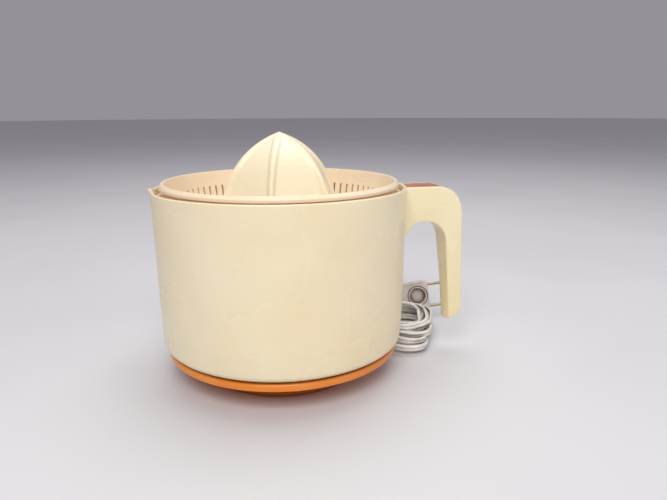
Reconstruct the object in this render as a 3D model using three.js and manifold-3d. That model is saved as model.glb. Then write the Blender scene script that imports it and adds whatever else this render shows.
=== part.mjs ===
// Electric citrus juicer: a jug with a lift-out strainer and reamer cone on a motor base.
// Millimetres, +Z up. The origin is where the jug's axis meets the surface that the base stands on.
// The handle points along +X and the pouring lip along -X.

import * as THREE from 'three';
import { mergeVertices } from 'three/addons/utils/BufferGeometryUtils.js';
import Module from 'manifold-3d';

const wasm = await Module();
wasm.setup();

// ---------------------------------------------------------------- driving dimensions

const SEGMENTS = { body: 40, small: 16, screw: 8 };
const GAP = 0.3; // between pieces that touch
const RUN = 0.3; // between a turning piece and its bearing

const PAN = { bottomR: 53.5, topR: 56, height: 16.2, wall: 2.2, floor: 2.2 };
const FLANGE = { r: 79.2, bottom: 16.5, top: 21.2, wall: 2.2 };
const TOWER = { bottomR: 44.5, topR: 42.6, shoulder: 85, top: 91, wall: 2.2, bossR: 11, bossTop: 94 };

const JUG = {
  bottom: 21.5, footR: 76.5, cornerR: 82.6, cornerTop: 27.6, rimR: 84.6, rimTop: 128.4,
  wall: 2.3, floor: 2.3, domeClear: 2, chimneyR: 12, chimneyTop: 110, ledge: 121.6,
};
const LIP = { reach: 86.7, halfWidth: 9, bottom: 120, wall: 2.6 };

const STRAINER = {
  rimR: 77.6, rimTop: 132, bandR: 79.2, bandTop: 131, bandBottom: 128.4, wall: 2,
  flangeR: 81.5, flangeTop: 123.6, flangeBottom: 121.9,
  floorR: 72.6, floorTop: 104, floorBottom: 102, collarR: 16.6, collarTop: 113,
  slots: 80, slotWidth: 1.6, slotTop: 121.4, slotLow: 106.5, turn: -1.7,
  floorSlots: 20, floorSlotWidth: 2, floorSlotIn: 45, floorSlotOut: 64,
};

const CONE = {
  bottom: 107, baseR: 43, apex: 163.4, wall: 2, ribs: 6, ribAzimuth: 15.26,
  socketR: 8, socketBottom: 119.4,
};

const HANDLE = {
  top: 125.4, topWidth: 26.1, lowWidth: 14, lowZ: 27.3, inlayWidth: 17,
  bulge: 2.9, bulgeTop: 84, endSlope: 0.5,
};

const GEAR = { module: 0.65, pinionTeeth: 10, wheelTeeth: 46, tooth: 0.8, backlash: 0.16 };
const CENTRES = (GEAR.module * (GEAR.pinionTeeth + GEAR.wheelTeeth)) / 2;

const SHAFT = { r: 4, square: 6.5, bottom: 64, squareFrom: 97.3, top: 107 };

const STACK = { bottom: 30, top: 46, boreR: 10.5, rotorR: 10, halfWidth: 20, front: -18, back: 32 };
const STATOR_LEG = 7.5;
const MOTOR_SHAFT = { r: 1.5, bottom: 17, top: 61.3 };
const MOTOR_SCREW = { x: 15.4, y: -11.5, r: 1.5, headR: 2.8, postR: 3 };

const CORD = { width: 5, thickness: 2.6, exitAzimuth: 50, exitHeight: 8.5, reliefTip: 80 };
const RELIEF = { boreR: 2.2, neckR: 4, headR: 5.6, collarR: 5.4, tipR: 3.4 };
const HANK = {
  x: 101.5, y: 29, lean: 18.4, halfLength: 41, halfWidth: 19.5, hole: 7.5, bottom: 0.3, top: 16.2,
};
const PLUG = {
  x: 121.8, y: 78.5, z: 15.2, length: 27, pinFace: 28, cordEnd: 25, depth: 12.6, pitch: 19,
  lean: 14, tilt: 7.5, yaw: -8, dishX: 3.4, dishR: 7, dishDepth: 2.2, pinR: 1.2, pinLength: 27, pinOut: 17.5,
};

// ---------------------------------------------------------------- materials

const finish = (color, roughness, metalness = 0) =>
  new THREE.MeshStandardMaterial({ color, roughness, metalness });

const cream = finish(0xe8d4b1, 0.4);
const creamHandle = finish(0xeee2b6, 0.4);
const creamCone = finish(0xf3e4c4, 0.38);
const orange = finish(0xe08a3c, 0.35);
const orangeDark = finish(0xb8651f, 0.45);
const terracotta = finish(0xa85a48, 0.5);
const nylon = finish(0xe9e6dc, 0.5);
const blackPlastic = finish(0x26262a, 0.55);
const offWhite = finish(0xd8d2c4, 0.6);
const rubber = finish(0x2b2826, 0.85);
const steel = finish(0xb4b6b8, 0.35, 1);
const laminations = finish(0x6d6f72, 0.5, 0.9);
const brass = finish(0xc9a24a, 0.3, 1);
const bronze = finish(0x9a6b3c, 0.45, 0.9);
const windingTape = finish(0xb9652b, 0.5);

// ---------------------------------------------------------------- solids from geometries

const radians = THREE.MathUtils.degToRad;

function solid(geometry) {
  const bare = geometry.clone();
  for (const name of ['normal', 'uv']) bare.deleteAttribute(name);
  const merged = mergeVertices(bare, 1e-4);
  return new wasm.Manifold(new wasm.Mesh({
    numProp: 3,
    vertProperties: new Float32Array(merged.attributes.position.array),
    triVerts: new Uint32Array(merged.index.array),
  }));
}

function geometryOf(body) {
  const mesh = body.getMesh();
  const geometry = new THREE.BufferGeometry();
  geometry.setAttribute('position', new THREE.BufferAttribute(mesh.vertProperties, 3));
  geometry.setIndex(new THREE.BufferAttribute(mesh.triVerts, 1));
  geometry.computeVertexNormals();
  return geometry;
}

// A closed outline of [radius, height] points, anticlockwise, turned about the Z axis.
function turned(outline, segments = SEGMENTS.body) {
  const points = [...outline, outline[0]].map(([r, z]) => new THREE.Vector2(r, z));
  const geometry = new THREE.LatheGeometry(points, segments);
  geometry.rotateX(Math.PI / 2);
  return solid(geometry);
}

function disc(r, bottom, top, segments = SEGMENTS.small) {
  const geometry = new THREE.CylinderGeometry(r, r, top - bottom, segments);
  geometry.rotateX(Math.PI / 2);
  return solid(geometry).translate([0, 0, (bottom + top) / 2]);
}

function ring(outer, inner, bottom, top, segments = SEGMENTS.small) {
  return disc(outer, bottom, top, segments).subtract(disc(inner, bottom - 1, top + 1, segments));
}

function block([x0, y0, z0], [x1, y1, z1]) {
  const geometry = new THREE.BoxGeometry(x1 - x0, y1 - y0, z1 - z0);
  return solid(geometry).translate([(x0 + x1) / 2, (y0 + y1) / 2, (z0 + z1) / 2]);
}

// A flat shape in X and Y given a height.
function plate(shape, bottom, top, curveSegments = 8) {
  const settings = { depth: top - bottom, bevelEnabled: false, curveSegments };
  return solid(new THREE.ExtrudeGeometry(shape, settings)).translate([0, 0, bottom]);
}

function polygon(points) {
  return new THREE.Shape(points.map(([x, y]) => new THREE.Vector2(x, y)));
}

function polar(r, azimuth, z = 0) {
  return [r * Math.cos(radians(azimuth)), r * Math.sin(radians(azimuth)), z];
}

// A quarter round from one [r, z] point to another, bulging towards the corner.
function rounded(from, corner, to, steps = 2) {
  const curve = new THREE.QuadraticBezierCurve(
    new THREE.Vector2(...from), new THREE.Vector2(...corner), new THREE.Vector2(...to));
  return curve.getPoints(steps).map((p) => [p.x, p.y]);
}

function unite(bodies) {
  return bodies.reduce((sum, body) => sum.add(body));
}

const juicer = new THREE.Group();

function piece(name, body, material) {
  const mesh = new THREE.Mesh(body.isBufferGeometry ? body : geometryOf(body), material);
  mesh.name = name;
  juicer.add(mesh);
  return mesh;
}

// ---------------------------------------------------------------- base: pan, feet and screws

const PAN_SCREWS = [90, 210, 330];
const PAN_SCREW = { ringR: 46, r: 1.5, headR: 3, sinkR: 3.5, postR: 4.6 };
const FEET = [0, 120, 240];
const FOOT = { ringR: 45, r: 6, depth: 1.8 };

function panWallR(z) {
  return THREE.MathUtils.mapLinear(z, 0, PAN.height, PAN.bottomR, PAN.topR);
}

function pan() {
  const { bottomR, topR, height, wall, floor } = PAN;
  let body = turned([
    [0, 0], [bottomR - 1, 0], [bottomR, 1], [topR, height], [topR - wall, height],
    [bottomR - wall, floor], [0, floor],
  ]);
  for (const azimuth of PAN_SCREWS) {
    const at = polar(PAN_SCREW.ringR, azimuth);
    body = body.add(disc(PAN_SCREW.postR, floor - 0.5, 15, 12).translate(at));
    body = body.subtract(disc(PAN_SCREW.r + GAP, -1, 20, SEGMENTS.screw).translate(at));
    body = body.subtract(disc(PAN_SCREW.sinkR, -1, 4, 12).translate(at));
  }
  for (const azimuth of FEET) {
    const at = polar(FOOT.ringR, azimuth);
    body = body.add(disc(FOOT.r + 1.5, 1, FOOT.depth + 2).translate(at));
    body = body.subtract(disc(FOOT.r + GAP, -1, FOOT.depth + GAP).translate(at));
  }
  return body.subtract(glandBore());
}

// The hole through the pan's wall that the cord's strain relief sits in.
function glandBore() {
  const geometry = new THREE.CylinderGeometry(RELIEF.neckR + GAP, RELIEF.neckR + GAP, 30, 16);
  geometry.rotateZ(Math.PI / 2);
  return solid(geometry).rotate([0, 0, CORD.exitAzimuth])
    .translate(polar(PAN.bottomR, CORD.exitAzimuth, CORD.exitHeight));
}

piece('base_pan', pan(), orangeDark);

FEET.forEach((azimuth, i) => {
  piece(`foot_${i + 1}`, disc(FOOT.r, 0, FOOT.depth).translate(polar(FOOT.ringR, azimuth)), rubber);
});

PAN_SCREWS.forEach((azimuth, i) => {
  const screw = disc(PAN_SCREW.headR, 1.6, 3.7, 12).add(disc(PAN_SCREW.r, 3.2, 20.2, SEGMENTS.screw))
    .subtract(block([-2, -0.4, 1], [2, 0.4, 2.4]));
  piece(`pan_screw_${i + 1}`, screw.translate(polar(PAN_SCREW.ringR, azimuth)), steel);
});

// ---------------------------------------------------------------- base: housing with its motor tower

const COLUMNS = [60, 150, 270]; // inside the tower, carrying the gear plate
const COLUMN_R = 35;
const GEAR_SCREW_R = 1.2;
const GEAR_PLATE = { bottom: 52, top: 54, r: 38.6 };

function housingShell() {
  const { r, bottom, top, wall } = FLANGE;
  const { bottomR, topR, shoulder, bossR, bossTop } = TOWER;
  const t = TOWER.wall;
  return turned([
    [r, bottom], ...rounded([r, top - 1.6], [r, top - 0.2], [r - 1.8, top - 0.2]), [r - 3, top],
    [bottomR, top], [topR, shoulder],
    ...rounded([topR - 0.1, shoulder + 1], [topR - 0.6, TOWER.top], [topR - 6, TOWER.top]),
    [bossR, TOWER.top], [bossR, bossTop], [7.4, bossTop], [7.4, TOWER.top - t],
    ...rounded([topR - 7, TOWER.top - t], [topR - 2.6, TOWER.top - t], [topR - t, shoulder]),
    [bottomR - t, top - wall], [PAN.topR + GAP, top - wall], [PAN.topR + GAP, 14.6],
    [PAN.topR + 2.3, 14.6], [PAN.topR + 2.3, top - wall], [r - wall, top - wall], [r - wall, bottom],
  ]);
}

function housing() {
  let body = housingShell();
  for (const azimuth of COLUMNS) {
    const at = polar(COLUMN_R, azimuth);
    body = body.add(disc(3.6, GEAR_PLATE.top + GAP, TOWER.top - 1, 10).translate(at));
    body = body.subtract(disc(GEAR_SCREW_R + GAP, 50, 62, SEGMENTS.screw).translate(at));
  }
  for (const azimuth of PAN_SCREWS) {
    const at = polar(PAN_SCREW.ringR, azimuth);
    body = body.add(disc(PAN_SCREW.postR, 15.4, 20, 12).translate(at));
    body = body.subtract(disc(PAN_SCREW.r + GAP, 10, 20.5, SEGMENTS.screw).translate(at));
  }
  return body;
}

piece('base_housing', housing(), orange);

// ---------------------------------------------------------------- motor

function atMotorScrew(body, side) {
  return body.translate([side * MOTOR_SCREW.x, MOTOR_SCREW.y, 0]);
}

function stator() {
  const { bottom, top, boreR, halfWidth, front, back } = STACK;
  const leg = STATOR_LEG;
  const outline = polygon([
    [-halfWidth, front + 4], [-halfWidth + 4, front], [halfWidth - 4, front], [halfWidth, front + 4],
    [halfWidth, back], [halfWidth - leg, back], [halfWidth - leg, 16],
    [-halfWidth + leg, 16], [-halfWidth + leg, back], [-halfWidth, back],
  ]);
  const bore = new THREE.Path().absarc(0, 0, boreR, 0, 2 * Math.PI, true);
  outline.holes.push(bore);
  let body = plate(outline, bottom, top, 20);
  for (const side of [-1, 1]) {
    body = body.subtract(atMotorScrew(disc(MOTOR_SCREW.r + GAP, bottom - 1, top + 1, SEGMENTS.screw), side));
    body = body.subtract(ringSlot(side));
  }
  return body;
}

// The slots in a pole tip that its copper shading ring passes through.
function ringSlot(side) {
  return block([Math.min(side * 13, side * 14.4), 3.2, STACK.bottom - 1],
    [Math.max(side * 13, side * 14.4), 9.8, STACK.top + 1]);
}

function shadingRing(side) {
  const x0 = 13.3;
  const x1 = 21.4;
  const strap = block([x0, 3.5, STACK.bottom - 1.2], [x1, 9.5, STACK.top + 1.2])
    .subtract(block([x0 + 0.8, 0, STACK.bottom - 0.4], [x1 - 0.9, 12, STACK.top + 0.4]));
  return side > 0 ? strap : strap.mirror([1, 0, 0]);
}

function coilCore() {
  const inner = STACK.halfWidth - STATOR_LEG - GAP;
  return block([-inner, 23, STACK.bottom], [inner, 31, STACK.top]);
}

const BOBBIN = { halfLength: 11.2, in: [22.7, 31.3], out: [16.6, 37.4], lowZ: 25, highZ: 51 };

function bobbin() {
  const { halfLength: h, in: core, out, lowZ, highZ } = BOBBIN;
  const tube = block([-h, core[0] - 0.9, STACK.bottom - 1.2], [h, core[1] + 0.9, STACK.top + 1.2]);
  const cheek = block([0, out[0], lowZ], [0.9, out[1], highZ]);
  return unite([tube, cheek.translate([h - 0.9, 0, 0]), cheek.translate([-h, 0, 0])])
    .subtract(block([-h - 1, core[0], STACK.bottom - GAP], [h + 1, core[1], STACK.top + GAP]));
}

function winding() {
  const { halfLength: h, in: core, out, lowZ, highZ } = BOBBIN;
  const x = h - 0.9 - GAP;
  return block([-x, out[0] + 0.8, lowZ + 0.8], [x, out[1] - 0.8, highZ - 0.8])
    .subtract(block([-x - 1, core[0] - 1.2, STACK.bottom - 1.5], [x + 1, core[1] + 1.2, STACK.top + 1.5]));
}

const BRACKET = { bottom: 21.5, top: 23.5 };

function lowerBracket() {
  let body = block([-20, -16, BRACKET.bottom], [20, 9, BRACKET.top]).add(disc(6.4, 18.6, 25));
  for (const side of [-1, 1]) {
    body = body.add(atMotorScrew(disc(MOTOR_SCREW.postR, BRACKET.top - 0.5, STACK.bottom - GAP, 10), side));
    body = body.subtract(atMotorScrew(disc(MOTOR_SCREW.r + GAP, 10, 40, SEGMENTS.screw), side));
  }
  return body.subtract(disc(4.2, 19.8, 30, 12)).subtract(disc(2.6, 15, 25, 12));
}

function motorScrew(side) {
  const head = disc(MOTOR_SCREW.headR, BRACKET.bottom - 2.3, BRACKET.bottom - GAP, 10);
  const shank = disc(MOTOR_SCREW.r, BRACKET.bottom - 1, GEAR_PLATE.bottom + 1.6, SEGMENTS.screw);
  return atMotorScrew(head.add(shank), side);
}

function bearing(bottom, top) {
  return turned([[MOTOR_SHAFT.r + 0.15, bottom], [3.3, bottom], [3.9, bottom + 1.2],
    [3.9, top - 1.2], [3.3, top], [MOTOR_SHAFT.r + 0.15, top]], 12);
}

piece('stator', stator(), laminations);
piece('coil_core', coilCore(), laminations);
piece('coil_bobbin', bobbin(), nylon);
piece('coil_winding', winding(), windingTape);
piece('shading_ring_1', shadingRing(1), bronze);
piece('shading_ring_2', shadingRing(-1), bronze);
piece('motor_bracket', lowerBracket(), steel);
piece('motor_screw_1', motorScrew(-1), steel);
piece('motor_screw_2', motorScrew(1), steel);
piece('bearing_lower', bearing(20.1, 25), bronze);
piece('bearing_upper', bearing(47.6, 52.4), bronze);

piece('rotor_core', ring(STACK.rotorR, MOTOR_SHAFT.r + 0.05, STACK.bottom, STACK.top, 24), laminations);
piece('rotor_shaft', disc(MOTOR_SHAFT.r - 0.1, MOTOR_SHAFT.bottom, MOTOR_SHAFT.top, 12), steel);

// ---------------------------------------------------------------- gear train

// Teeth as straight-sided trapezoids with the tips eased, enough backlash to turn freely.
function gearOutline(teeth, phase) {
  const { module: m, tooth, backlash } = GEAR;
  const pitchR = (m * teeth) / 2;
  const step = (2 * Math.PI) / teeth;
  const half = (step / 4) * (1 - backlash);
  const lean = (m * 0.36) / pitchR;
  const profile = [
    [pitchR - m * (tooth + 0.2), half + lean], [pitchR + m * tooth, half - lean],
  ];
  const points = [];
  for (let k = 0; k < teeth; k += 1) {
    const middle = phase + k * step;
    for (const [r, a] of profile) points.push([r * Math.cos(middle - a), r * Math.sin(middle - a)]);
    for (const [r, a] of [...profile].reverse()) {
      points.push([r * Math.cos(middle + a), r * Math.sin(middle + a)]);
    }
  }
  return polygon(points);
}

function gear(teeth, bottom, top, phase = 0) {
  return plate(gearOutline(teeth, phase), bottom, top);
}

const halfTooth = (teeth) => Math.PI / teeth;

function motorPinion() {
  return gear(GEAR.pinionTeeth, 56, 61).subtract(disc(MOTOR_SHAFT.r + 0.05, 50, 70, 10));
}

// The two-step idler: its wheel meshes with the motor pinion, its pinion with the output wheel.
function idler() {
  const wheel = gear(GEAR.wheelTeeth, 56.5, 60.5, Math.PI + halfTooth(GEAR.wheelTeeth));
  const small = gear(GEAR.pinionTeeth, 60, 76, Math.PI + halfTooth(GEAR.pinionTeeth));
  return unite([wheel, small]).subtract(disc(1.5 + RUN, 50, 80, 12)).translate([CENTRES, 0, 0]);
}

function gearPlate() {
  const { bottom, top, r } = GEAR_PLATE;
  let body = disc(r, bottom, top, 28).add(disc(6.4, 46.6, bottom + 0.5, 12));
  body = body.subtract(disc(4.2, 47.3, top - 1.3, 12)).subtract(disc(2.6, 45, 60, 12));
  for (const azimuth of COLUMNS) {
    const hole = disc(GEAR_SCREW_R + GAP, 50, 60, SEGMENTS.screw);
    body = body.subtract(hole.translate(polar(COLUMN_R, azimuth)));
  }
  for (const side of [-1, 1]) {
    body = body.add(atMotorScrew(disc(MOTOR_SCREW.postR, STACK.top + GAP, bottom + 0.5, 10), side));
    body = body.subtract(atMotorScrew(disc(MOTOR_SCREW.r + GAP, 40, top - 0.1, SEGMENTS.screw), side));
  }
  body = body.add(block([-31, -10, top - 0.5], [-24.6, 10, 65.7]));
  return body.add(disc(3.4, top - 0.5, 62, 12).translate([0, SPRING.y, 0]));
}

function idlerPost() {
  return disc(1.5, GEAR_PLATE.top + GAP, 77.5, 12).add(disc(2.6, GEAR_PLATE.top + GAP, 55.8, 12))
    .translate([CENTRES, 0, 0]);
}

function gearScrew(azimuth) {
  const screw = disc(2.6, 49.9, GEAR_PLATE.bottom - GAP, 10)
    .add(disc(GEAR_SCREW_R, 51, 61.4, SEGMENTS.screw));
  return screw.translate(polar(COLUMN_R, azimuth));
}

const SPRING = { y: 26, bottom: 62.3, top: 79.7, r: 2.6, wire: 0.45, turns: 5, steps: 8 };

function returnSpring() {
  const { bottom, top, r, wire, turns } = SPRING;
  const last = turns * SPRING.steps;
  const points = [];
  for (let k = 0; k <= last; k += 1) {
    const a = (k / SPRING.steps) * 2 * Math.PI;
    const z = THREE.MathUtils.mapLinear(k, 0, last, bottom + wire, top - wire);
    points.push(new THREE.Vector3(r * Math.cos(a), r * Math.sin(a), z));
  }
  const path = new THREE.CatmullRomCurve3(points);
  const section = polygon([[wire, 0], [0, wire], [-wire, 0], [0, -wire]]);
  const geometry = new THREE.ExtrudeGeometry(section, { extrudePath: path, steps: last, curveSegments: 2 });
  return solid(geometry).translate([0, SPRING.y, 0]);
}

piece('motor_pinion', motorPinion(), brass);
piece('idler_gear', idler(), nylon);
piece('gear_plate', gearPlate(), steel);
piece('idler_post', idlerPost(), steel);
COLUMNS.forEach((azimuth, i) => piece(`gear_plate_screw_${i + 1}`, gearScrew(azimuth), steel));
piece('return_spring', returnSpring(), steel);

// ---------------------------------------------------------------- output shaft and press switch

function outputShaft() {
  const half = SHAFT.square / 2;
  const squareEnd = block([-half, -half, SHAFT.squareFrom - 3], [half, half, SHAFT.top])
    .intersect(disc(SHAFT.r, 90, 120));
  return disc(SHAFT.r, SHAFT.bottom, SHAFT.squareFrom).add(squareEnd).subtract(ring(6, 3.4, 96.1, 97.2));
}

function outputGear() {
  return gear(GEAR.wheelTeeth, 68, 74).add(disc(7, 73, 78.5)).subtract(disc(SHAFT.r + 0.1, 60, 80));
}

// The sleeve that the shaft turns in. It slides down with the shaft, and its arm works the switch.
function pressSleeve() {
  const arms = unite([
    block([-31, -3.5, 80], [0, 3.5, 82.2]), block([-3.5, 0, 80], [3.5, SPRING.y + 4, 82.2]),
  ]);
  return unite([disc(7, 80.5, 95.8), disc(12, 80, 82.2), arms]).subtract(disc(SHAFT.r + RUN, 70, 100));
}

function shaftClip() {
  return ring(6.4, 3.7, 96.3, 97).subtract(block([-1.5, -9, 90], [1.5, 0, 99]));
}

const PLUNGER = { x: -27.8, r: 1.5 };

function switchBody() {
  const bore = disc(PLUNGER.r + RUN, 72, 80, 12).translate([PLUNGER.x, 0, 0]);
  return block([-30.9, -9.9, 66], [-24.7, 9.9, 76]).subtract(bore);
}

piece('output_shaft', outputShaft(), steel);
piece('output_gear', outputGear(), nylon);
piece('press_sleeve', pressSleeve(), nylon);
piece('shaft_clip', shaftClip(), steel);
piece('micro_switch', switchBody(), blackPlastic);
piece('switch_plunger', disc(PLUNGER.r, 74.4, 79.7, 12).translate([PLUNGER.x, 0, 0]), terracotta);

// ---------------------------------------------------------------- jug

function jugWallR(z) {
  return THREE.MathUtils.mapLinear(z, JUG.cornerTop, JUG.rimTop, JUG.cornerR, JUG.rimR);
}

function jugShell() {
  const { bottom, footR, cornerR, cornerTop, rimR, rimTop, wall, floor, chimneyR, chimneyTop, ledge } = JUG;
  const domeBase = TOWER.bottomR + JUG.domeClear;
  const domeTop = TOWER.topR + JUG.domeClear;
  const roof = TOWER.top + JUG.domeClear;
  return turned([
    [domeBase, bottom], [footR, bottom],
    ...rounded([footR, bottom], [cornerR, bottom], [cornerR, cornerTop], 4),
    [rimR - 0.2, rimTop - 0.9], [rimR - 0.8, rimTop], [rimR - 1.8, rimTop], [rimR - 2.4, rimTop - 0.9],
    [jugWallR(ledge) - wall, ledge], [jugWallR(ledge) - wall - 1.8, ledge],
    [jugWallR(ledge - 2) - wall - 1.8, ledge - 2], [jugWallR(ledge - 6) - wall, ledge - 6],
    ...rounded([cornerR - wall, cornerTop + 1], [cornerR - wall, bottom + floor],
      [footR - 1, bottom + floor]),
    ...rounded([domeBase + wall + 4, bottom + floor], [domeBase + wall, bottom + floor],
      [domeBase + wall - 0.2, bottom + floor + 4]),
    ...rounded([domeTop + wall, TOWER.shoulder], [domeTop + wall - 0.6, roof + wall],
      [domeTop - 7, roof + wall]),
    [chimneyR + wall + 0.4, roof + wall], [chimneyR + wall - 0.2, chimneyTop],
    [chimneyR, chimneyTop], [chimneyR, roof],
    ...rounded([domeTop - 8, roof], [domeTop - 0.6, roof], [domeTop, TOWER.shoulder]),
  ]);
}

// The pouring lip: a wedge that grows out of the wall below it to a point at the rim.
function lipWedge(reach, halfWidth, bottom, top) {
  const geometry = new THREE.ExtrudeGeometry(
    polygon([[-reach, 0], [-JUG.rimR + 4, -halfWidth], [-JUG.rimR + 4, halfWidth]].reverse()),
    { depth: top - bottom, bevelEnabled: false });
  geometry.translate(0, 0, bottom);
  const places = geometry.attributes.position;
  for (let i = 0; i < places.count; i += 1) {
    if (places.getZ(i) < bottom + 0.01 && places.getX(i) < -JUG.rimR) {
      places.setX(i, -jugWallR(bottom) + 0.6);
    }
  }
  return solid(geometry);
}

const LUG = { from: 80, to: 106, halfWidth: 5, bottom: 105.5, top: 117 };
const HANDLE_SCREWS = [92.5, 102];
const HANDLE_SCREW = { r: 1.3, headR: 2.7, sinkR: 3 };

function jug() {
  const lug = block([LUG.from, -LUG.halfWidth, LUG.bottom], [LUG.to, LUG.halfWidth, LUG.top])
    .subtract(disc(jugWallR(LUG.bottom) - 1.5, 90, 120, SEGMENTS.body));
  let body = jugShell().add(lipWedge(LIP.reach, LIP.halfWidth, LIP.bottom, JUG.rimTop)
    .subtract(disc(jugWallR(LIP.bottom) - 1, 100, 140, SEGMENTS.body)));
  const channel = lipWedge(LIP.reach - LIP.wall, LIP.halfWidth - LIP.wall, LIP.bottom + 3, JUG.rimTop + 2);
  body = body.subtract(channel);
  body = body.add(lug);
  for (const x of HANDLE_SCREWS) {
    body = body.subtract(disc(HANDLE_SCREW.r + GAP, 107.5, 120, SEGMENTS.screw).translate([x, 0, 0]));
  }
  return body;
}

piece('jug', jug(), cream);

// ---------------------------------------------------------------- jug handle

// Side view, X and Z: the arm runs out from the jug, turns down and ends in a slanted foot.
function handleSide() {
  const shape = new THREE.Shape();
  shape.moveTo(78, 78);
  shape.lineTo(78, HANDLE.top).lineTo(106.5, HANDLE.top);
  shape.bezierCurveTo(118.5, HANDLE.top, 124.6, 118.5, 125.8, 105);
  shape.lineTo(126.4, 93.6).lineTo(130.3, 33).lineTo(129.6, 31.2);
  shape.lineTo(122, 27).lineTo(121.2, 28.2).lineTo(115.3, HANDLE.bulgeTop);
  shape.bezierCurveTo(114.6, 95.5, 108, 101.3, 98, 101.3);
  shape.bezierCurveTo(90, 101.3, 84, 94, 82, 78);
  return shape;
}

// How far the grip's inner face swells towards the jug, at a height and a share across its width.
function gripBulge(x, z, across) {
  const inner = x > 110 && x < 123 && z < HANDLE.bulgeTop;
  const down = THREE.MathUtils.mapLinear(z, HANDLE.bulgeTop, HANDLE.lowZ, 0, 1);
  return inner ? HANDLE.bulge * Math.min(down, 1) * (1 - (2 * across) ** 2) : 0;
}

function handleBlank() {
  const settings = { depth: 1, steps: 6, bevelEnabled: false, curveSegments: 9 };
  const geometry = new THREE.ExtrudeGeometry(handleSide(), settings);
  geometry.translate(0, 0, -0.5);
  geometry.rotateX(Math.PI / 2);
  const { top, topWidth, lowWidth, lowZ, endSlope } = HANDLE;
  const places = geometry.attributes.position;
  for (let i = 0; i < places.count; i += 1) {
    const [x, across, z] = [places.getX(i), places.getY(i), places.getZ(i)];
    const width = THREE.MathUtils.mapLinear(z, lowZ, top, lowWidth, topWidth);
    const bulge = gripBulge(x, z, across);
    places.setXYZ(i, x - bulge, across * width, z - bulge * endSlope);
  }
  return solid(geometry);
}

const INLAY = { from: jugWallR(HANDLE.top) + 1, to: 111, bottom: 122.6, top: 125.7 };

function inlayShape(margin) {
  const half = HANDLE.inlayWidth / 2 + margin;
  return block([80, -half, INLAY.bottom - margin], [INLAY.to + margin, half, 130]);
}

function handle() {
  const jugBody = turned([[0, 60], [jugWallR(60) + GAP, 60], [jugWallR(140) + GAP, 140], [0, 140]]);
  let body = handleBlank().subtract(jugBody).subtract(inlayShape(GAP));
  body = body.subtract(block([70, -LUG.halfWidth - GAP, LUG.bottom - GAP],
    [LUG.to + GAP, LUG.halfWidth + GAP, LUG.top + GAP]));
  for (const x of HANDLE_SCREWS) {
    body = body.subtract(disc(HANDLE_SCREW.r + GAP, 110, 124, SEGMENTS.screw).translate([x, 0, 0]));
    body = body.subtract(disc(HANDLE_SCREW.sinkR, 120, 124, 12).translate([x, 0, 0]));
  }
  return body;
}

function inlay() {
  const { from, to, bottom, top } = INLAY;
  const side = polygon([[from, bottom], [to, bottom], [to, top - 1.1], [to - 2.8, top], [from, top]]);
  const geometry = new THREE.ExtrudeGeometry(side, { depth: HANDLE.inlayWidth, bevelEnabled: false });
  geometry.rotateX(Math.PI / 2);
  return solid(geometry).translate([0, HANDLE.inlayWidth / 2, 0]);
}

piece('jug_handle', handle(), creamHandle);
piece('handle_inlay', inlay(), terracotta);
HANDLE_SCREWS.forEach((x, i) => {
  const screw = disc(HANDLE_SCREW.headR, 120.3, 122.1, 12)
    .add(disc(HANDLE_SCREW.r, 108.5, 121, SEGMENTS.screw));
  piece(`handle_screw_${i + 1}`, screw.translate([x, 0, 0]), steel);
});

// ---------------------------------------------------------------- strainer

function strainerWallR(z) {
  const { floorBottom, floorR, rimTop, rimR } = STRAINER;
  return THREE.MathUtils.mapLinear(z, floorBottom, rimTop, floorR + 1, rimR);
}

function strainerShell() {
  const { rimR, rimTop, bandR, bandTop, bandBottom, wall, flangeR, flangeTop, flangeBottom,
    floorR, floorTop, floorBottom, collarR, collarTop } = STRAINER;
  const collarIn = JUG.chimneyR + JUG.wall + 0.5;
  return turned([
    [collarIn, floorBottom], [floorR - 3, floorBottom], [floorR, floorBottom + 1.2],
    [strainerWallR(flangeBottom), flangeBottom], [flangeR, flangeBottom], [flangeR, flangeTop],
    [strainerWallR(flangeTop), flangeTop], [strainerWallR(bandBottom), bandBottom],
    [bandR, bandBottom], [bandR, bandTop], [rimR, rimTop], [rimR - wall + 0.5, rimTop],
    [rimR - wall, rimTop - 0.6], [strainerWallR(floorTop + 2) - wall, floorTop + 2],
    [floorR - 4, floorTop], [collarR, floorTop], [collarR, collarTop],
    [8.6, collarTop], [8.6, collarTop - 2], [collarIn, collarTop - 2],
  ], STRAINER.slots / 2);
}

function strainer() {
  const { slots, slotWidth, slotTop, slotLow, floorTop, floorSlots, floorSlotIn, floorSlotOut } = STRAINER;
  const wallSlot = block([floorSlotOut + 4, -slotWidth / 2, slotLow], [90, slotWidth / 2, slotTop]);
  const half = STRAINER.floorSlotWidth / 2;
  const floorSlot = block([floorSlotIn, -half, 90], [floorSlotOut, half, floorTop + 1]);
  const cuts = [];
  for (let k = 0; k < slots; k += 1) {
    cuts.push(wallSlot.rotate([0, 0, ((k + 0.5) * 360) / slots]));
  }
  for (let k = 0; k < floorSlots; k += 1) {
    cuts.push(floorSlot.rotate([0, 0, ((k + 0.25) * 360) / floorSlots]));
  }
  return strainerShell().subtract(wasm.Manifold.union(cuts)).rotate([0, 0, STRAINER.turn]);
}

piece('strainer', strainer(), cream);

// ---------------------------------------------------------------- drive bush and spindle

const SPINDLE_HALF = 4; // half the width of the square that drives the cone
const SPINDLE_NECK_R = 5;

function spindleBush() {
  return ring(8.3, SPINDLE_NECK_R + RUN, 110.8, 115.8).add(ring(12, SPINDLE_NECK_R + RUN, 115.3, 116.7));
}

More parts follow.
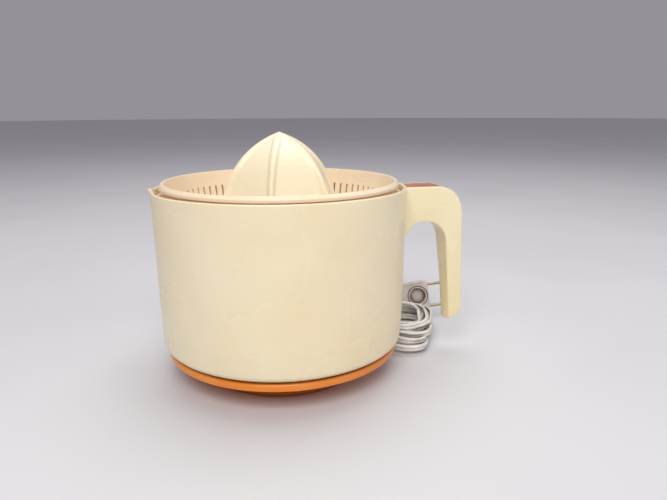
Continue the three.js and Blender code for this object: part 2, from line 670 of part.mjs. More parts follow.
function spindle() {
  const socket = SHAFT.square / 2 + RUN;
  const drive = SPINDLE_HALF;
  return unite([
    disc(7.6, 97.6, 110.5), disc(SPINDLE_NECK_R, 110, 117.2), disc(9, 117, 119),
    block([-drive, -drive, 118.5], [drive, drive, 144]),
  ]).subtract(block([-socket, -socket, 90], [socket, socket, SHAFT.top + GAP]));
}

piece('spindle_bush', spindleBush(), nylon);
piece('drive_spindle', spindle(), nylon);

// ---------------------------------------------------------------- reamer cone

const ogive = new THREE.CubicBezierCurve(
  new THREE.Vector2(CONE.baseR, CONE.bottom), new THREE.Vector2(39.5, 136),
  new THREE.Vector2(26, 155), new THREE.Vector2(0, CONE.apex));

// Radius at an azimuth as a share of the rib's: six flat, slightly hollow panels between the ribs.
function ribFactor(azimuth) {
  const step = 360 / CONE.ribs;
  const turn = THREE.MathUtils.euclideanModulo(azimuth - CONE.ribAzimuth + step / 2, step);
  const off = Math.abs(turn - step / 2);
  const flat = Math.cos(radians(step / 2)) / Math.cos(radians(step / 2 - off));
  return flat * (1 - 0.024 * Math.sin((Math.PI * off) / step));
}

function ribbed(outline, segments) {
  const points = outline.map(([r, z]) => new THREE.Vector2(r, z));
  const geometry = new THREE.LatheGeometry(points, segments);
  geometry.rotateX(Math.PI / 2);
  geometry.rotateZ(radians(CONE.ribAzimuth));
  const places = geometry.attributes.position;
  for (let i = 0; i < places.count; i += 1) {
    const azimuth = THREE.MathUtils.radToDeg(Math.atan2(places.getY(i), places.getX(i)));
    const factor = ribFactor(azimuth);
    places.setXY(i, places.getX(i) * factor, places.getY(i) * factor);
  }
  return solid(geometry);
}

function cone() {
  const outer = ogive.getPoints(9).map((p) => [p.x, p.y]);
  const inner = ogive.getPoints(6).slice(0, -1)
    .map((p) => [Math.max(p.x - CONE.wall - 0.8, 0.5), p.y - CONE.wall * 0.9]);
  const skin = ribbed([[0, CONE.bottom], ...outer], 24);
  const below = CONE.bottom - 5;
  const core = ribbed([[0, below], [inner[0][0], below], ...inner, [0, CONE.apex - 6]], 24);
  const socket = SPINDLE_HALF + RUN;
  const tube = disc(CONE.socketR, CONE.socketBottom, 158.5, 20);
  return skin.subtract(core).add(tube)
    .subtract(block([-socket, -socket, 100], [socket, socket, 146]));
}

piece('reamer_cone', cone(), creamCone);

// ---------------------------------------------------------------- wiring inside the pan

function terminalBlock() {
  let body = block([-12, -7, PAN.floor + GAP], [12, 7, 12]);
  for (const x of [-6, 0, 6]) body = body.subtract(disc(1.6, 7, 13, 10).translate([x, 0, 0]));
  return body.rotate([0, 0, 35]).translate([-22, -18, 0]);
}

function cordClamp() {
  return block([-4, -8, PAN.floor + GAP], [4, 8, 12.5]).subtract(block([-6, -2.8, 6.9], [6, 2.8, 10.1]))
    .rotate([0, 0, CORD.exitAzimuth]).translate(polar(38, CORD.exitAzimuth));
}

piece('terminal_block', terminalBlock(), nylon);
piece('cord_clamp', cordClamp(), nylon);

// ---------------------------------------------------------------- mains cord, its strain relief and plug

function cordTube(route, steps) {
  const path = new THREE.CatmullRomCurve3(route.map((p) => new THREE.Vector3(...p)));
  const section = new THREE.Shape().absarc(0, 0, CORD.thickness * 0.75, 0, 2 * Math.PI);
  return solid(new THREE.ExtrudeGeometry(section, { extrudePath: path, steps, curveSegments: 4 }));
}

// A tapered sleeve round the cord, pointing straight out of the pan's wall.
function strainRelief() {
  const wallR = panWallR(CORD.exitHeight);
  const tip = CORD.reliefTip - wallR;
  const { boreR, neckR, headR, collarR, tipR } = RELIEF;
  const inside = -PAN.wall - 1.6;
  return turned([
    [boreR, -6], [headR, -6], [headR, inside], [neckR, inside], [neckR, 1.3], [collarR, 1.3],
    [collarR - 0.2, 3.5], [tipR, tip], [boreR, tip],
  ], 16).rotate([0, 90, CORD.exitAzimuth]).translate(polar(wallR, CORD.exitAzimuth, CORD.exitHeight));
}

const leadRoute = [
  [27.6, 32.9, 8.5], [33.5, 39.9, 8.5], [42, 50, 8.5], [51.4, 61.3, 8.5], [55, 65.5, 8.3], [60.4, 71.3, 7.2],
  [67, 76.4, 5.2], [75, 79, 3.4], [83, 78.2, 2.4], [90, 75, 2.2], [95.6, 71.2, 2.2],
];
const tailRoute = [
  [92.2, 66.4, 14.2], [93.6, 70.8, 14], [96, 75.2, 13.4], [99.4, 78.7, 12.8], [103.6, 80.5, 12.7],
  [107.9, 80.4, 13.3],
];

function hank() {
  const { halfLength, halfWidth, hole, bottom, top, lean } = HANK;
  const straight = halfLength - halfWidth;
  const shape = new THREE.Shape();
  shape.absarc(0, straight, halfWidth, 0, Math.PI).absarc(0, -straight, halfWidth, Math.PI, 2 * Math.PI);
  const hollow = new THREE.Path();
  hollow.absarc(0, straight, hole, 0, Math.PI).absarc(0, -straight, hole, Math.PI, 2 * Math.PI);
  shape.holes.push(hollow);
  return plate(shape, bottom, top, 10).rotate([0, 0, -lean]).translate([HANK.x, HANK.y, 0]);
}

// The plug stands on its edge and leans back, with its pins pointing slightly up.
function plugBlank() {
  const { length, pinFace, cordEnd, depth } = PLUG;
  const a = length / 2;
  const shape = polygon([
    ...rounded([-a, -cordEnd / 2 + 6], [-a, -cordEnd / 2], [-a + 6, -cordEnd / 2], 4),
    ...rounded([a - 3, -pinFace / 2], [a, -pinFace / 2], [a, -pinFace / 2 + 3], 3),
    ...rounded([a, pinFace / 2 - 3], [a, pinFace / 2], [a - 3, pinFace / 2], 3),
    ...rounded([-a + 6, cordEnd / 2], [-a, cordEnd / 2], [-a, cordEnd / 2 - 6], 4),
  ]);
  return plate(shape, -depth / 2, depth / 2);
}

function plugBody() {
  const { length, depth, pitch, dishX, dishR, dishDepth, pinR } = PLUG;
  let body = plugBlank();
  for (const side of [-1, 1]) {
    const dish = ring(dishR, dishR / 2, depth / 2 - dishDepth, depth / 2 + 1, 24).translate([dishX, 0, 0]);
    body = body.subtract(side > 0 ? dish : dish.mirror([0, 0, 1]));
    const hole = new THREE.CylinderGeometry(pinR + GAP, pinR + GAP, 20, 12).rotateZ(Math.PI / 2);
    body = body.subtract(solid(hole).translate([length / 2, (side * pitch) / 2, 0]));
  }
  return body;
}

function plugPin(side) {
  const { length, pitch, pinR, pinLength, pinOut } = PLUG;
  const pin = new THREE.CylinderGeometry(pinR, pinR, pinLength, 12).rotateZ(Math.PI / 2);
  return solid(pin).translate([length / 2 + pinOut - pinLength / 2, (side * pitch) / 2, 0]);
}

function placedPlug(body) {
  const { x, y, z, lean, tilt, yaw } = PLUG;
  return body.rotate([90 - lean, -tilt, yaw]).translate([x, y, z]);
}

piece('strain_relief', strainRelief(), offWhite);
piece('cord_lead', cordTube(leadRoute, 26), offWhite);
piece('cord_hank', hank(), offWhite);
piece('cord_tail', cordTube(tailRoute, 8), offWhite);
piece('plug_body', placedPlug(plugBody()), offWhite);
piece('plug_pin_1', placedPlug(plugPin(1)), brass);
piece('plug_pin_2', placedPlug(plugPin(-1)), brass);

export default juicer;
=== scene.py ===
import math

import bmesh
import bpy
from mathutils import Matrix, Vector


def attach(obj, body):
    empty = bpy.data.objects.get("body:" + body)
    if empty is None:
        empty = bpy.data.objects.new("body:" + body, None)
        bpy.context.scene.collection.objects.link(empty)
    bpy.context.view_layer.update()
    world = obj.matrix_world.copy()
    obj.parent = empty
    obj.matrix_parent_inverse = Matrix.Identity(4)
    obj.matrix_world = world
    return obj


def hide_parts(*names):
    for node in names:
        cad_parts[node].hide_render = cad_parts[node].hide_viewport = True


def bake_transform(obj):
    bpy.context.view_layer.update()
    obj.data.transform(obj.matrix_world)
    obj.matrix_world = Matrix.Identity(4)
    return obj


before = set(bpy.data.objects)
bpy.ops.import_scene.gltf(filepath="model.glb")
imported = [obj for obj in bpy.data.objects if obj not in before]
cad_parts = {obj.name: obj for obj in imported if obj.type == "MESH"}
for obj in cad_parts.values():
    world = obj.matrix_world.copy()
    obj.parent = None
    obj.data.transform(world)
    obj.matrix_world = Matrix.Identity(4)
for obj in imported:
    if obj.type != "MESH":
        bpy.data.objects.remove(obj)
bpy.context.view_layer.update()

# Electric citrus juicer. Sizes below are in millimetres in the CAD frame, and MM turns them into metres.
# +Z is up, the handle points along +X and the pouring lip along -X.
MM = 0.001
SCENE = bpy.context.scene

# ------------------------------------------------------------------ camera

# Fitted to the photo: where the camera stands, and the three directions of its frame.
CAMERA_AT = Vector((-35.05, -389.64, 179.37)) * MM
CAMERA_RIGHT = Vector((0.983583, -0.180410, -0.003999))
CAMERA_UP = Vector((0.047183, 0.235725, 0.970674))
CAMERA_BACK = Vector((-0.174177, -0.954927, 0.240368))
SENSOR_MM = 36.0
LENS_MM = 31.30


def make_camera():
    data = bpy.data.cameras.new("camera")
    data.sensor_fit = "HORIZONTAL"
    data.sensor_width = SENSOR_MM
    data.lens = LENS_MM
    data.clip_start = 0.02
    data.clip_end = 30
    camera = bpy.data.objects.new("camera", data)
    turn = Matrix((CAMERA_RIGHT, CAMERA_UP, CAMERA_BACK)).transposed().to_4x4()
    camera.matrix_world = Matrix.Translation(CAMERA_AT) @ turn
    SCENE.collection.objects.link(camera)
    SCENE.camera = camera


make_camera()

# ------------------------------------------------------------------ mesh helpers

# Edges that turn by more degrees than this are shaded sharp, unless a piece says otherwise.
SHARP = 32
TUBE_SHARP = 50
# Rounding a corner takes at most this share of each of its sides.
LONGEST_CUT = 0.48
# Turns a piece made along Z so that it points along X.
ALONG_X = Matrix.Rotation(math.pi / 2, 4, "Y")


def shade(obj, angle=SHARP):
    obj.data.shade_smooth()
    obj.data.set_sharp_from_angle(angle=math.radians(angle))


def mesh_object(name, points, faces, angle=SHARP):
    """A new object from points in millimetres. Coinciding points are joined, and the normals face out."""
    mesh = bpy.data.meshes.new(name)
    mesh.from_pydata([[c * MM for c in p] for p in points], [], faces)
    bm = bmesh.new()
    bm.from_mesh(mesh)
    bmesh.ops.remove_doubles(bm, verts=bm.verts, dist=1e-7)
    bmesh.ops.recalc_face_normals(bm, faces=bm.faces)
    bm.to_mesh(mesh)
    bm.free()
    obj = bpy.data.objects.new(name, mesh)
    SCENE.collection.objects.link(obj)
    shade(obj, angle)
    return obj


def settle(obj, angle=SHARP):
    """Applies the object's modifiers."""
    graph = bpy.context.evaluated_depsgraph_get()
    mesh = bpy.data.meshes.new_from_object(obj.evaluated_get(graph))
    obj.modifiers.clear()
    obj.data = mesh
    shade(obj, angle)
    return obj


def joined(name, objects):
    """One object with the meshes of all of them."""
    bm = bmesh.new()
    for o in objects:
        bm.from_mesh(o.data)
        bpy.data.objects.remove(o)
    mesh = bpy.data.meshes.new(name)
    bm.to_mesh(mesh)
    bm.free()
    obj = bpy.data.objects.new(name, mesh)
    SCENE.collection.objects.link(obj)
    shade(obj)
    return obj


def boolean(obj, operation, *tools, angle=SHARP):
    """Adds the tools to the object or cuts them out of it, and deletes them."""
    for tool in tools:
        modifier = obj.modifiers.new("boolean", "BOOLEAN")
        modifier.operation = operation
        modifier.solver = "MANIFOLD"
        modifier.object = tool
        settle(obj, angle)
        bpy.data.objects.remove(tool)
    return obj


def bevelled(obj, width, segments=3, limit=30):
    modifier = obj.modifiers.new("bevel", "BEVEL")
    modifier.width = width * MM
    modifier.segments = segments
    modifier.limit_method = "ANGLE"
    modifier.angle_limit = math.radians(limit)
    return settle(obj)


def rounded(corners, steps=5):
    """A closed outline from (x, y, radius) corners, each rounded with its radius if the sides allow it."""
    outline = []
    for i, (x, y, radius) in enumerate(corners):
        here = Vector((x, y))
        before = Vector(corners[i - 1][:2]) - here
        after = Vector(corners[(i + 1) % len(corners)][:2]) - here
        if radius == 0 or before.length < 1e-6 or after.length < 1e-6:
            outline.append((x, y))
            continue
        half = before.angle(after) / 2
        cut = min(radius / math.tan(half), LONGEST_CUT * before.length, LONGEST_CUT * after.length)
        start = here + before.normalized() * cut
        end = here + after.normalized() * cut
        weight = math.sin(half)
        for k in range(steps + 1):
            t = k / steps
            a, b, c = (1 - t) ** 2, 2 * weight * t * (1 - t), t * t
            point = (start * a + here * b + end * c) / (a + b + c)
            outline.append((point.x, point.y))
    return outline


def dense(outline, step):
    """The closed outline with extra points, so that no stretch is longer than step."""
    out = []
    for i, (x0, y0) in enumerate(outline):
        x1, y1 = outline[(i + 1) % len(outline)]
        n = max(1, math.ceil(math.hypot(x1 - x0, y1 - y0) / step))
        out += [(x0 + (x1 - x0) * k / n, y0 + (y1 - y0) * k / n) for k in range(n)]
    return out


def lathe(name, outline, segments, move=None, angle=SHARP):
    """The closed (radius, height) outline turned about Z. move, if given, shifts each point."""
    n = len(outline)
    points = []
    for i in range(segments):
        a = 2 * math.pi * i / segments
        ring = [(r * math.cos(a), r * math.sin(a), z) for r, z in outline]
        points += [move(p) for p in ring] if move else ring
    faces = []
    for i in range(segments):
        j = (i + 1) % segments
        for k in range(n):
            m = (k + 1) % n
            if outline[k][0] > 0 or outline[m][0] > 0:
                corners = [i * n + k, j * n + k, j * n + m, i * n + m]
                if outline[k][0] == 0:
                    corners.pop(1)
                elif outline[m][0] == 0:
                    corners.pop(2)
                faces.append(corners)
    return mesh_object(name, points, faces, angle)


def box(name, low, high):
    """A box between two corners."""
    (x0, y0, z0), (x1, y1, z1) = low, high
    points = [(x, y, z) for x in (x0, x1) for y in (y0, y1) for z in (z0, z1)]
    faces = [(0, 1, 3, 2), (4, 6, 7, 5), (0, 4, 5, 1), (2, 3, 7, 6), (0, 2, 6, 4), (1, 5, 7, 3)]
    return mesh_object(name, points, faces)


def rod(name, radius, low, high, at=(0, 0), segments=48, edge=0.0):
    """An upright cylinder. edge is the radius that its two rims are rounded with."""
    outline = rounded([(0, low, 0), (radius, low, edge), (radius, high, edge), (0, high, 0)], 4)
    obj = lathe(name, outline, segments)
    obj.data.transform(Matrix.Translation(Vector((at[0], at[1], 0)) * MM))
    return obj


def prism(name, outline, low, high):
    """A flat outline given a height."""
    n = len(outline)
    points = [(x, y, low) for x, y in outline] + [(x, y, high) for x, y in outline]
    faces = [tuple(range(n))[::-1], tuple(range(n, 2 * n))]
    faces += [(k, (k + 1) % n, n + (k + 1) % n, n + k) for k in range(n)]
    return mesh_object(name, points, faces)


def bezier(p0, p1, p2, p3, steps):
    """Points of a cubic curve, without the first one."""
    out = []
    for k in range(1, steps + 1):
        t = k / steps
        weights = ((1 - t) ** 3, 3 * t * (1 - t) ** 2, 3 * t * t * (1 - t), t**3)
        out.append(tuple(sum(w * p[c] for w, p in zip(weights, (p0, p1, p2, p3))) for c in (0, 1)))
    return out


def polar(r, azimuth):
    return r * math.cos(math.radians(azimuth)), r * math.sin(math.radians(azimuth))


def mix(a, b, t):
    return a + (b - a) * t


def smooth_step(low, high, value):
    """0 up to low, 1 from high on, and a smooth rise between."""
    t = min(1.0, max(0.0, (value - low) / (high - low)))
    return t * t * (3 - 2 * t)


# ------------------------------------------------------------------ mains cord

CORD_WIDTH, CORD_THICK = 5.0, 2.6
HANK_AT, HANK_LEAN = Vector((101.5, 29.0)), math.radians(18.4)
HANK_LONG = Vector((math.sin(HANK_LEAN), math.cos(HANK_LEAN)))
HANK_WIDE = Vector((math.cos(HANK_LEAN), -math.sin(HANK_LEAN)))
# The cord leaves the strain relief here.
RELIEF_TIP = (51.4, 61.3, 8.5)
# The cord's way to the hank and from it to the plug: x, y, z and how many degrees the flat side leans over.
LEAD = [
    (33.5, 39.9, 8.5, 90), (42, 50, 8.5, 90), (*RELIEF_TIP, 90), (55, 65.5, 8.3, 90),
    (60.4, 71.3, 7.2, 88), (67, 76.4, 5.2, 84), (75, 79, 3.6, 78), (83, 78.2, 3.0, 60), (90, 75, 2.9, 35),
]
TAIL = [
    (92.2, 66.4, 14.2, 30), (93.6, 70.8, 14.0, 22), (96, 75.2, 13.4, 12), (99.4, 78.7, 12.8, 4),
    (103.6, 80.5, 12.7, 0), (107.9, 80.4, 13.3, 0), (110.5, 80.0, 13.6, 0),
]
# Laps of the hank from the floor up: half width, near end, far end, height, height at the near end, lean,
# how far the lap is turned against the hank, and how far it is shifted across it.
LAPS = [
    (15.4, 42.2, 38.2, 2.9, 2.9, 10, -2, -0.5),
    (15.4, 35.8, 36.8, 3.4, 7.0, -14, 2, -2.8),
    (17.0, 28.5, 39.8, 8.4, 9.0, 12, -3, 0.6),
    (17.0, 23.8, 39.4, 12.4, 12.4, -18, 2, 0.8),
    (15.8, 1.5, 37.6, 12.6, 11.0, 58, -6, 0.4),
    (15.0, 14.5, 36.0, 14.6, 13.4, 30, 5, -8.0),
    (16.6, 20.5, 38.0, 14.4, 14.4, 50, -8, 0.4),
    (15.8, 10.0, 35.0, 14.2, 14.4, 40, -4, -3.0),
]
LAP_CAP_STEPS, LAP_SIDE_STEPS = 6, 3
LAP_PLACES = [
    (part, step) for part, steps in enumerate((LAP_CAP_STEPS, LAP_SIDE_STEPS) * 2) for step in range(steps)
]
# Share of each lap after which it starts to turn into the next one.
LAP_BLEND_START = 0.2
# The hank starts at the middle of the first far cap, where the lead meets it.
LEAD_MEETS_AT = LAP_CAP_STEPS // 2
CORD_SPACING, EASING_ROUNDS = 1.5, 14


def lap_point(lap, part, step):
    """A point on the lap: part 0 is the far cap, 1 the right side, 2 the near cap, 3 the left side."""
    half, near, far, height, near_height, lean, turn, shift = lap
    far_centre, near_centre = far - half, half - near
    sign = 1 if part in (0, 1) else -1
    if part in (0, 2):
        a = math.pi * step / LAP_CAP_STEPS - math.pi / 2
        centre = far_centre if part == 0 else near_centre
        long, wide = centre + sign * half * math.cos(a), sign * half * math.sin(a)
    else:
        ends = (far_centre, near_centre) if part == 1 else (near_centre, far_centre)
        long, wide = mix(*ends, step / LAP_SIDE_STEPS), sign * half
    share = smooth_step(far, -near, long)
    cos, sin = math.cos(math.radians(turn)), math.sin(math.radians(turn))
    long, wide = long * cos - wide * sin, long * sin + wide * cos
    at = HANK_AT + HANK_LONG * long + HANK_WIDE * (wide + shift)
    return at.x, at.y, mix(height, near_height, share), lean


def unevenness(count):
    """How far hand winding puts one point of the hank off its lap: x, y, z and lean."""
    wander = 0.35 * math.sin(count * 1.7) + 0.25 * math.sin(count * 0.61 + 1)
    return wander * 0.5, wander * 0.3, 0.25 * math.sin(count * 0.83), 14 * math.sin(count * 0.47 + 0.5)


def hank_route():
    """The laps, each one blending into the next."""
    route = []
    for this, following in zip(LAPS, LAPS[1:]):
        for i, (part, step) in enumerate(LAP_PLACES):
            blend = smooth_step(LAP_BLEND_START, 1.0, i / len(LAP_PLACES))
            lap = [mix(a, b, blend) for a, b in zip(this, following)]
            route.append([a + b for a, b in zip(lap_point(lap, part, step), unevenness(len(route)))])
    return route[LEAD_MEETS_AT:-1]


def catmull_rom(a, b, c, d, t):
    """A value between b and c, with a and d as their neighbours."""
    square, cube = 2 * a - 5 * b + 4 * c - d, 3 * b - a - 3 * c + d
    return 0.5 * (2 * b + (c - a) * t + square * t * t + cube * t**3)


def spline(points, spacing):
    """A Catmull-Rom curve through points of any number of values, with points about spacing apart."""
    fine = []
    for i in range(len(points) - 1):
        p0, p1, p2, p3 = (points[min(max(i + k, 0), len(points) - 1)] for k in (-1, 0, 1, 2))
        n = max(1, round(math.dist(p1[:3], p2[:3]) / spacing))
        for k in range(n):
            fine.append([catmull_rom(*values, k / n) for values in zip(p0, p1, p2, p3)])
    fine.append(list(points[-1]))
    return fine


def relaxed(line, rounds):
    """The line with its corners eased, ends kept."""
    for _ in range(rounds):
        line = [line[0]] + [
            [(a + 2 * b + c) / 4 for a, b, c in zip(line[i - 1], line[i], line[i + 1])]
            for i in range(1, len(line) - 1)
        ] + [line[-1]]
    return line


def twin_section():
    """Two conductors side by side: (across the width, through the thickness)."""
    points_each = 9
    r = CORD_THICK / 2
    centre = CORD_WIDTH / 2 - r
    neck = math.acos(-centre / r) - 0.05
    angles = [mix(-neck, neck, k / (points_each - 1)) for k in range(points_each)]
    return [(side * (centre + r * math.cos(a)), side * r * math.sin(a)) for side in (1, -1) for a in angles]


def swept(name, line, section):
    """A tube along a line of (x, y, z, lean) points. Lean 0 stands the section's width upright."""
    places = [Vector(p[:3]) for p in line]
    points = []
    for i, place in enumerate(places):
        ahead = (places[min(i + 1, len(places) - 1)] - places[max(i - 1, 0)]).normalized()
        up = (Vector((0, 0, 1)) - ahead * ahead.z).normalized()
        side = ahead.cross(up)
        lean = math.radians(line[i][3])
        wide = up * math.cos(lean) + side * math.sin(lean)
        thin = ahead.cross(wide)
        points += [place + wide * w + thin * t for w, t in section]
    n = len(section)
    faces = [tuple(range(n)), tuple(range(len(points) - n, len(points)))[::-1]]
    for i in range(len(places) - 1):
        for k in range(n):
            m = (k + 1) % n
            faces.append((i * n + k, i * n + m, (i + 1) * n + m, (i + 1) * n + k))
    return mesh_object(name, points, faces, TUBE_SHARP)


def make_cord():
    """The cord's piece, and its middle line in metres."""
    line = relaxed(spline(LEAD + hank_route() + TAIL, CORD_SPACING), EASING_ROUNDS)
    cord = swept("mains_cord", line, twin_section())
    return cord, [[c * MM for c in p[:3]] for p in line]


cord, cord_path = make_cord()

# ------------------------------------------------------------------ plug, pins and strain relief

PLUG_AT = Vector((121.8, 78.5, 15.2))
PLUG_LEAN, PLUG_TILT, PLUG_YAW = math.radians(14), math.radians(7.5), math.radians(-8)
# Length, width at the pins and at the cord, thickness, and the distance between the pins.
PLUG_LENGTH, PLUG_PIN_FACE, PLUG_CORD_END, PLUG_DEPTH, PLUG_PITCH = 27, 28, 25, 12.2, 19
DISH_AT, DISH_R = (3.4, 0.8), 7.3
PIN_R, PIN_LENGTH, PIN_MIDDLE = 1.2, 27.0, 4.0
PIN_HOLE_R = 1.45


def plug_turn():
    """Stands the plug, made lying flat, on its edge and leans it back."""
    yaw, tilt = Matrix.Rotation(PLUG_YAW, 4, "Z"), Matrix.Rotation(-PLUG_TILT, 4, "Y")
    return yaw @ tilt @ Matrix.Rotation(math.pi / 2 - PLUG_LEAN, 4, "X")


def placed_plug(obj):
    obj.data.transform(Matrix.Translation(PLUG_AT * MM) @ plug_turn())
    return obj


def plug_face(side):
    """(the raised ring on one flat side of the plug, the dish inside it, the groove round it)"""

    def level(height):
        return side * (PLUG_DEPTH / 2 + height)

    ring = [(DISH_R - 0.6, level(-1), 0), (DISH_R - 0.3, level(0.3), 0.2), (DISH_R + 0.8, level(0.3), 0.35),
            (DISH_R + 1.1, level(-1), 0)]
    dish = [(0, level(1), 0), (0, level(-2.8), 0), (4.2, level(-3.4), 1), (6.2, level(-3.4), 0.8),
            (DISH_R - 0.1, level(-0.2), 0.3), (DISH_R, level(1), 0)]
    groove = [(DISH_R + 0.85, level(1), 0), (DISH_R + 0.85, level(-0.8), 0.25),
              (DISH_R + 1.5, level(-0.8), 0.3), (DISH_R + 1.9, level(1), 0)]
    tools = [lathe("face_tool", rounded(corners), 72) for corners in (ring, dish, groove)]
    for tool in tools:
        tool.data.transform(Matrix.Translation(Vector((*DISH_AT, 0)) * MM))
    return tools


def make_plug():
    """The moulding with its two faces, pin holes and collar, made lying flat with the pins' end at +X."""
    a, b, c = PLUG_LENGTH / 2, PLUG_CORD_END / 2, PLUG_PIN_FACE / 2
    outline = rounded([(-a, -b, 6.5), (a, -c, 3.0), (a, c, 3.0), (-a, b, 6.5)], 8)
    body = prism("plug_moulding", dense(outline, 4), -PLUG_DEPTH / 2, PLUG_DEPTH / 2)
    body = bevelled(body, 1.5, 4)
    for side in (-1, 1):
        ring, dish, groove = plug_face(side)
        boolean(body, "UNION", ring)
        boolean(body, "DIFFERENCE", dish, groove)
    for side in (-1, 1):
        hole = lathe("hole", [(0, -9), (PIN_HOLE_R, -9), (PIN_HOLE_R, 9), (0, 9)], 32)
        hole.data.transform(Matrix.Translation((a * MM, side * PLUG_PITCH / 2 * MM, 0)) @ ALONG_X)
        boolean(body, "DIFFERENCE", hole)
    collar = lathe("collar", rounded([(0, -3, 0), (4.4, -3, 0.4), (3.3, 3.4, 0.8), (0, 3.4, 0)]), 48)
    collar.data.transform(Matrix.Translation((-a * MM, 0, 0)) @ Matrix.Rotation(-math.pi / 2, 4, "Y"))
    boolean(body, "UNION", collar)
    return placed_plug(body)


def make_pin(side, name):
    half = PIN_LENGTH / 2
    pin = lathe(name, rounded([(0, -half, 0), (PIN_R, -half, 0.2), (PIN_R, half, 0.7), (0, half, 0)]), 40)
    at = Vector((PLUG_LENGTH / 2 + PIN_MIDDLE, side * PLUG_PITCH / 2, 0)) * MM
    pin.data.transform(Matrix.Translation(at) @ ALONG_X)
    return placed_plug(pin)


EXIT_AZIMUTH, EXIT_HEIGHT, EXIT_WALL_R, RELIEF_TIP_R = 50, 8.5, 54.8, 80
RELIEF_RINGS, RELIEF_RING_PITCH = 5, 3.4


def at_exit(obj, r):
    """Puts a piece made along Z at the cord's way out of the pan, pointing out from radius r."""
    turn = Matrix.Rotation(math.radians(EXIT_AZIMUTH), 4, "Z") @ ALONG_X
    at = Vector((*polar(r, EXIT_AZIMUTH), EXIT_HEIGHT)) * MM
    obj.data.transform(Matrix.Translation(at) @ turn)
    return obj


def make_relief():
    """A tapered sleeve with grooves round it, so that it bends with the cord."""
    inner, tip = 2.3, RELIEF_TIP_R - EXIT_WALL_R
    corners = [(inner, -6, 0), (5.5, -6, 0.4), (5.5, -3.9, 0.3), (4, -3.9, 0), (4, 1.3, 0), (5.4, 1.3, 0.4),
               (5.2, 3.5, 0.5)]
    for k in range(RELIEF_RINGS):
        start = 5.5 + k * RELIEF_RING_PITCH
        wide = mix(4.9, 3.9, k / (RELIEF_RINGS - 1))
        corners += [(wide - 0.1, start, 0.3), (wide - 0.9, start + 0.5, 0.2),
                    (wide - 0.9, start + 1.1, 0.2), (wide - 0.15, start + 1.6, 0.3)]
    corners += [(3.5, tip, 0.5), (inner, tip, 0.3)]
    return at_exit(lathe("cord_relief", rounded(corners, 3), 48), EXIT_WALL_R)


plug = make_plug()
pins = [make_pin(1, "plug_prong_1"), make_pin(-1, "plug_prong_2")]
relief = make_relief()

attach(cord, "base")
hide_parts("cord_lead", "cord_hank", "cord_tail")

# ------------------------------------------------------------------ base

# Azimuths in degrees, and the radius of the ring that they are on.
PAN_SCREWS, PAN_SCREW_R = (90, 210, 330), 46
FEET, FOOT_RING_R, FOOT_R, FOOT_DEPTH = (0, 120, 240), 45, 6, 1.8
COLUMNS, COLUMN_RING_R, COLUMN_R, COLUMN_HOLE_R = (60, 150, 270), 35, 3.6, 1.5
PAN_POST_R, PAN_HOLE_R, PAN_SINK_R = 4.6, 1.8, 3.5


def make_pan():
    """The foot drum, with screw posts, pockets for the pads and the cord's way out."""
    outline = rounded([
        (0, 0, 0), (53.5, 0, 1.2), (56, 16.2, 0.3), (53.8, 16.2, 0.3), (51.3, 2.2, 1.5), (0, 2.2, 0),
    ])
    pan = lathe("base_drum", dense(outline, 4), 160)
    for azimuth in PAN_SCREWS:
        at = polar(PAN_SCREW_R, azimuth)
        boolean(pan, "UNION", rod("post", PAN_POST_R, 1.7, 15, at))
        boolean(pan, "DIFFERENCE", rod("hole", PAN_HOLE_R, -1, 20, at), rod("sink", PAN_SINK_R, -1, 4, at))
    for azimuth in FEET:
        at = polar(FOOT_RING_R, azimuth)
        boolean(pan, "UNION", rod("boss", FOOT_R + 1.5, 1, FOOT_DEPTH + 2, at))
        boolean(pan, "DIFFERENCE", rod("pocket", FOOT_R + 0.3, -1, FOOT_DEPTH + 0.3, at))
    return boolean(pan, "DIFFERENCE", at_exit(rod("bore", 4.3, -15, 15), 53.5))


def make_housing():
    """The wide rim under the jug and the motor tower, with columns for the gear plate."""
    outline = rounded([
        (79.2, 16.5, 0.5), (79.2, 21.0, 1.5), (76, 21.2, 0), (44.5, 21.2, 0.6),
        (42.6, 85, 3), (42.5, 91, 5), (11, 91, 0.5), (11, 94, 0.6), (7.4, 94, 0.4), (7.4, 88.8, 0),
        (40.3, 88.8, 4), (42.3, 19, 0), (56.3, 19, 0), (56.3, 14.6, 0.2), (58.3, 14.6, 0.2), (58.3, 19, 0),
        (77, 19, 0.4), (77, 16.5, 0.4),
    ])
    housing = lathe("base_cover", dense(outline, 4), 288)
    for azimuth in COLUMNS:
        at = polar(COLUMN_RING_R, azimuth)
        boolean(housing, "UNION", rod("post", COLUMN_R, 54.3, 90, at))
        boolean(housing, "DIFFERENCE", rod("hole", COLUMN_HOLE_R, 50, 62, at))
    for azimuth in PAN_SCREWS:
        at = polar(PAN_SCREW_R, azimuth)
        boolean(housing, "UNION", rod("post", PAN_POST_R, 15.4, 20, at))
        boolean(housing, "DIFFERENCE", rod("hole", PAN_HOLE_R, 10, 20.5, at))
    return housing


pan = make_pan()
housing = make_housing()
pads = [
    rod(f"pad_{i + 1}", FOOT_R, 0, FOOT_DEPTH, polar(FOOT_RING_R, azimuth), 56, 0.35)
    for i, azimuth in enumerate(FEET)
]

# ------------------------------------------------------------------ jug

RIM_R, RIM_TOP, JUG_WALL = 84.4, 128.4, 2.3
CORNER_R, CORNER_TOP = 82.6, 27.6
LIP_REACH, LIP_RISE, LIP_HALF_WIDTH, LIP_BOTTOM = 2.1, 0.9, 7.5, 122.5
RIM_DIP, BRIM_R, BRIM_LOW = 1.1, 70, 100
LEDGE_TOP, LEDGE_LOW, LEDGE_IN = 121.6, 119.6, 4.1
LUG_OUT, LUG_HALF_WIDTH, LUG_LOW, LUG_TOP = 106, 5, 105.5, 117
LUG_SCREWS, LUG_HOLE_R = (92.5, 102), 1.6


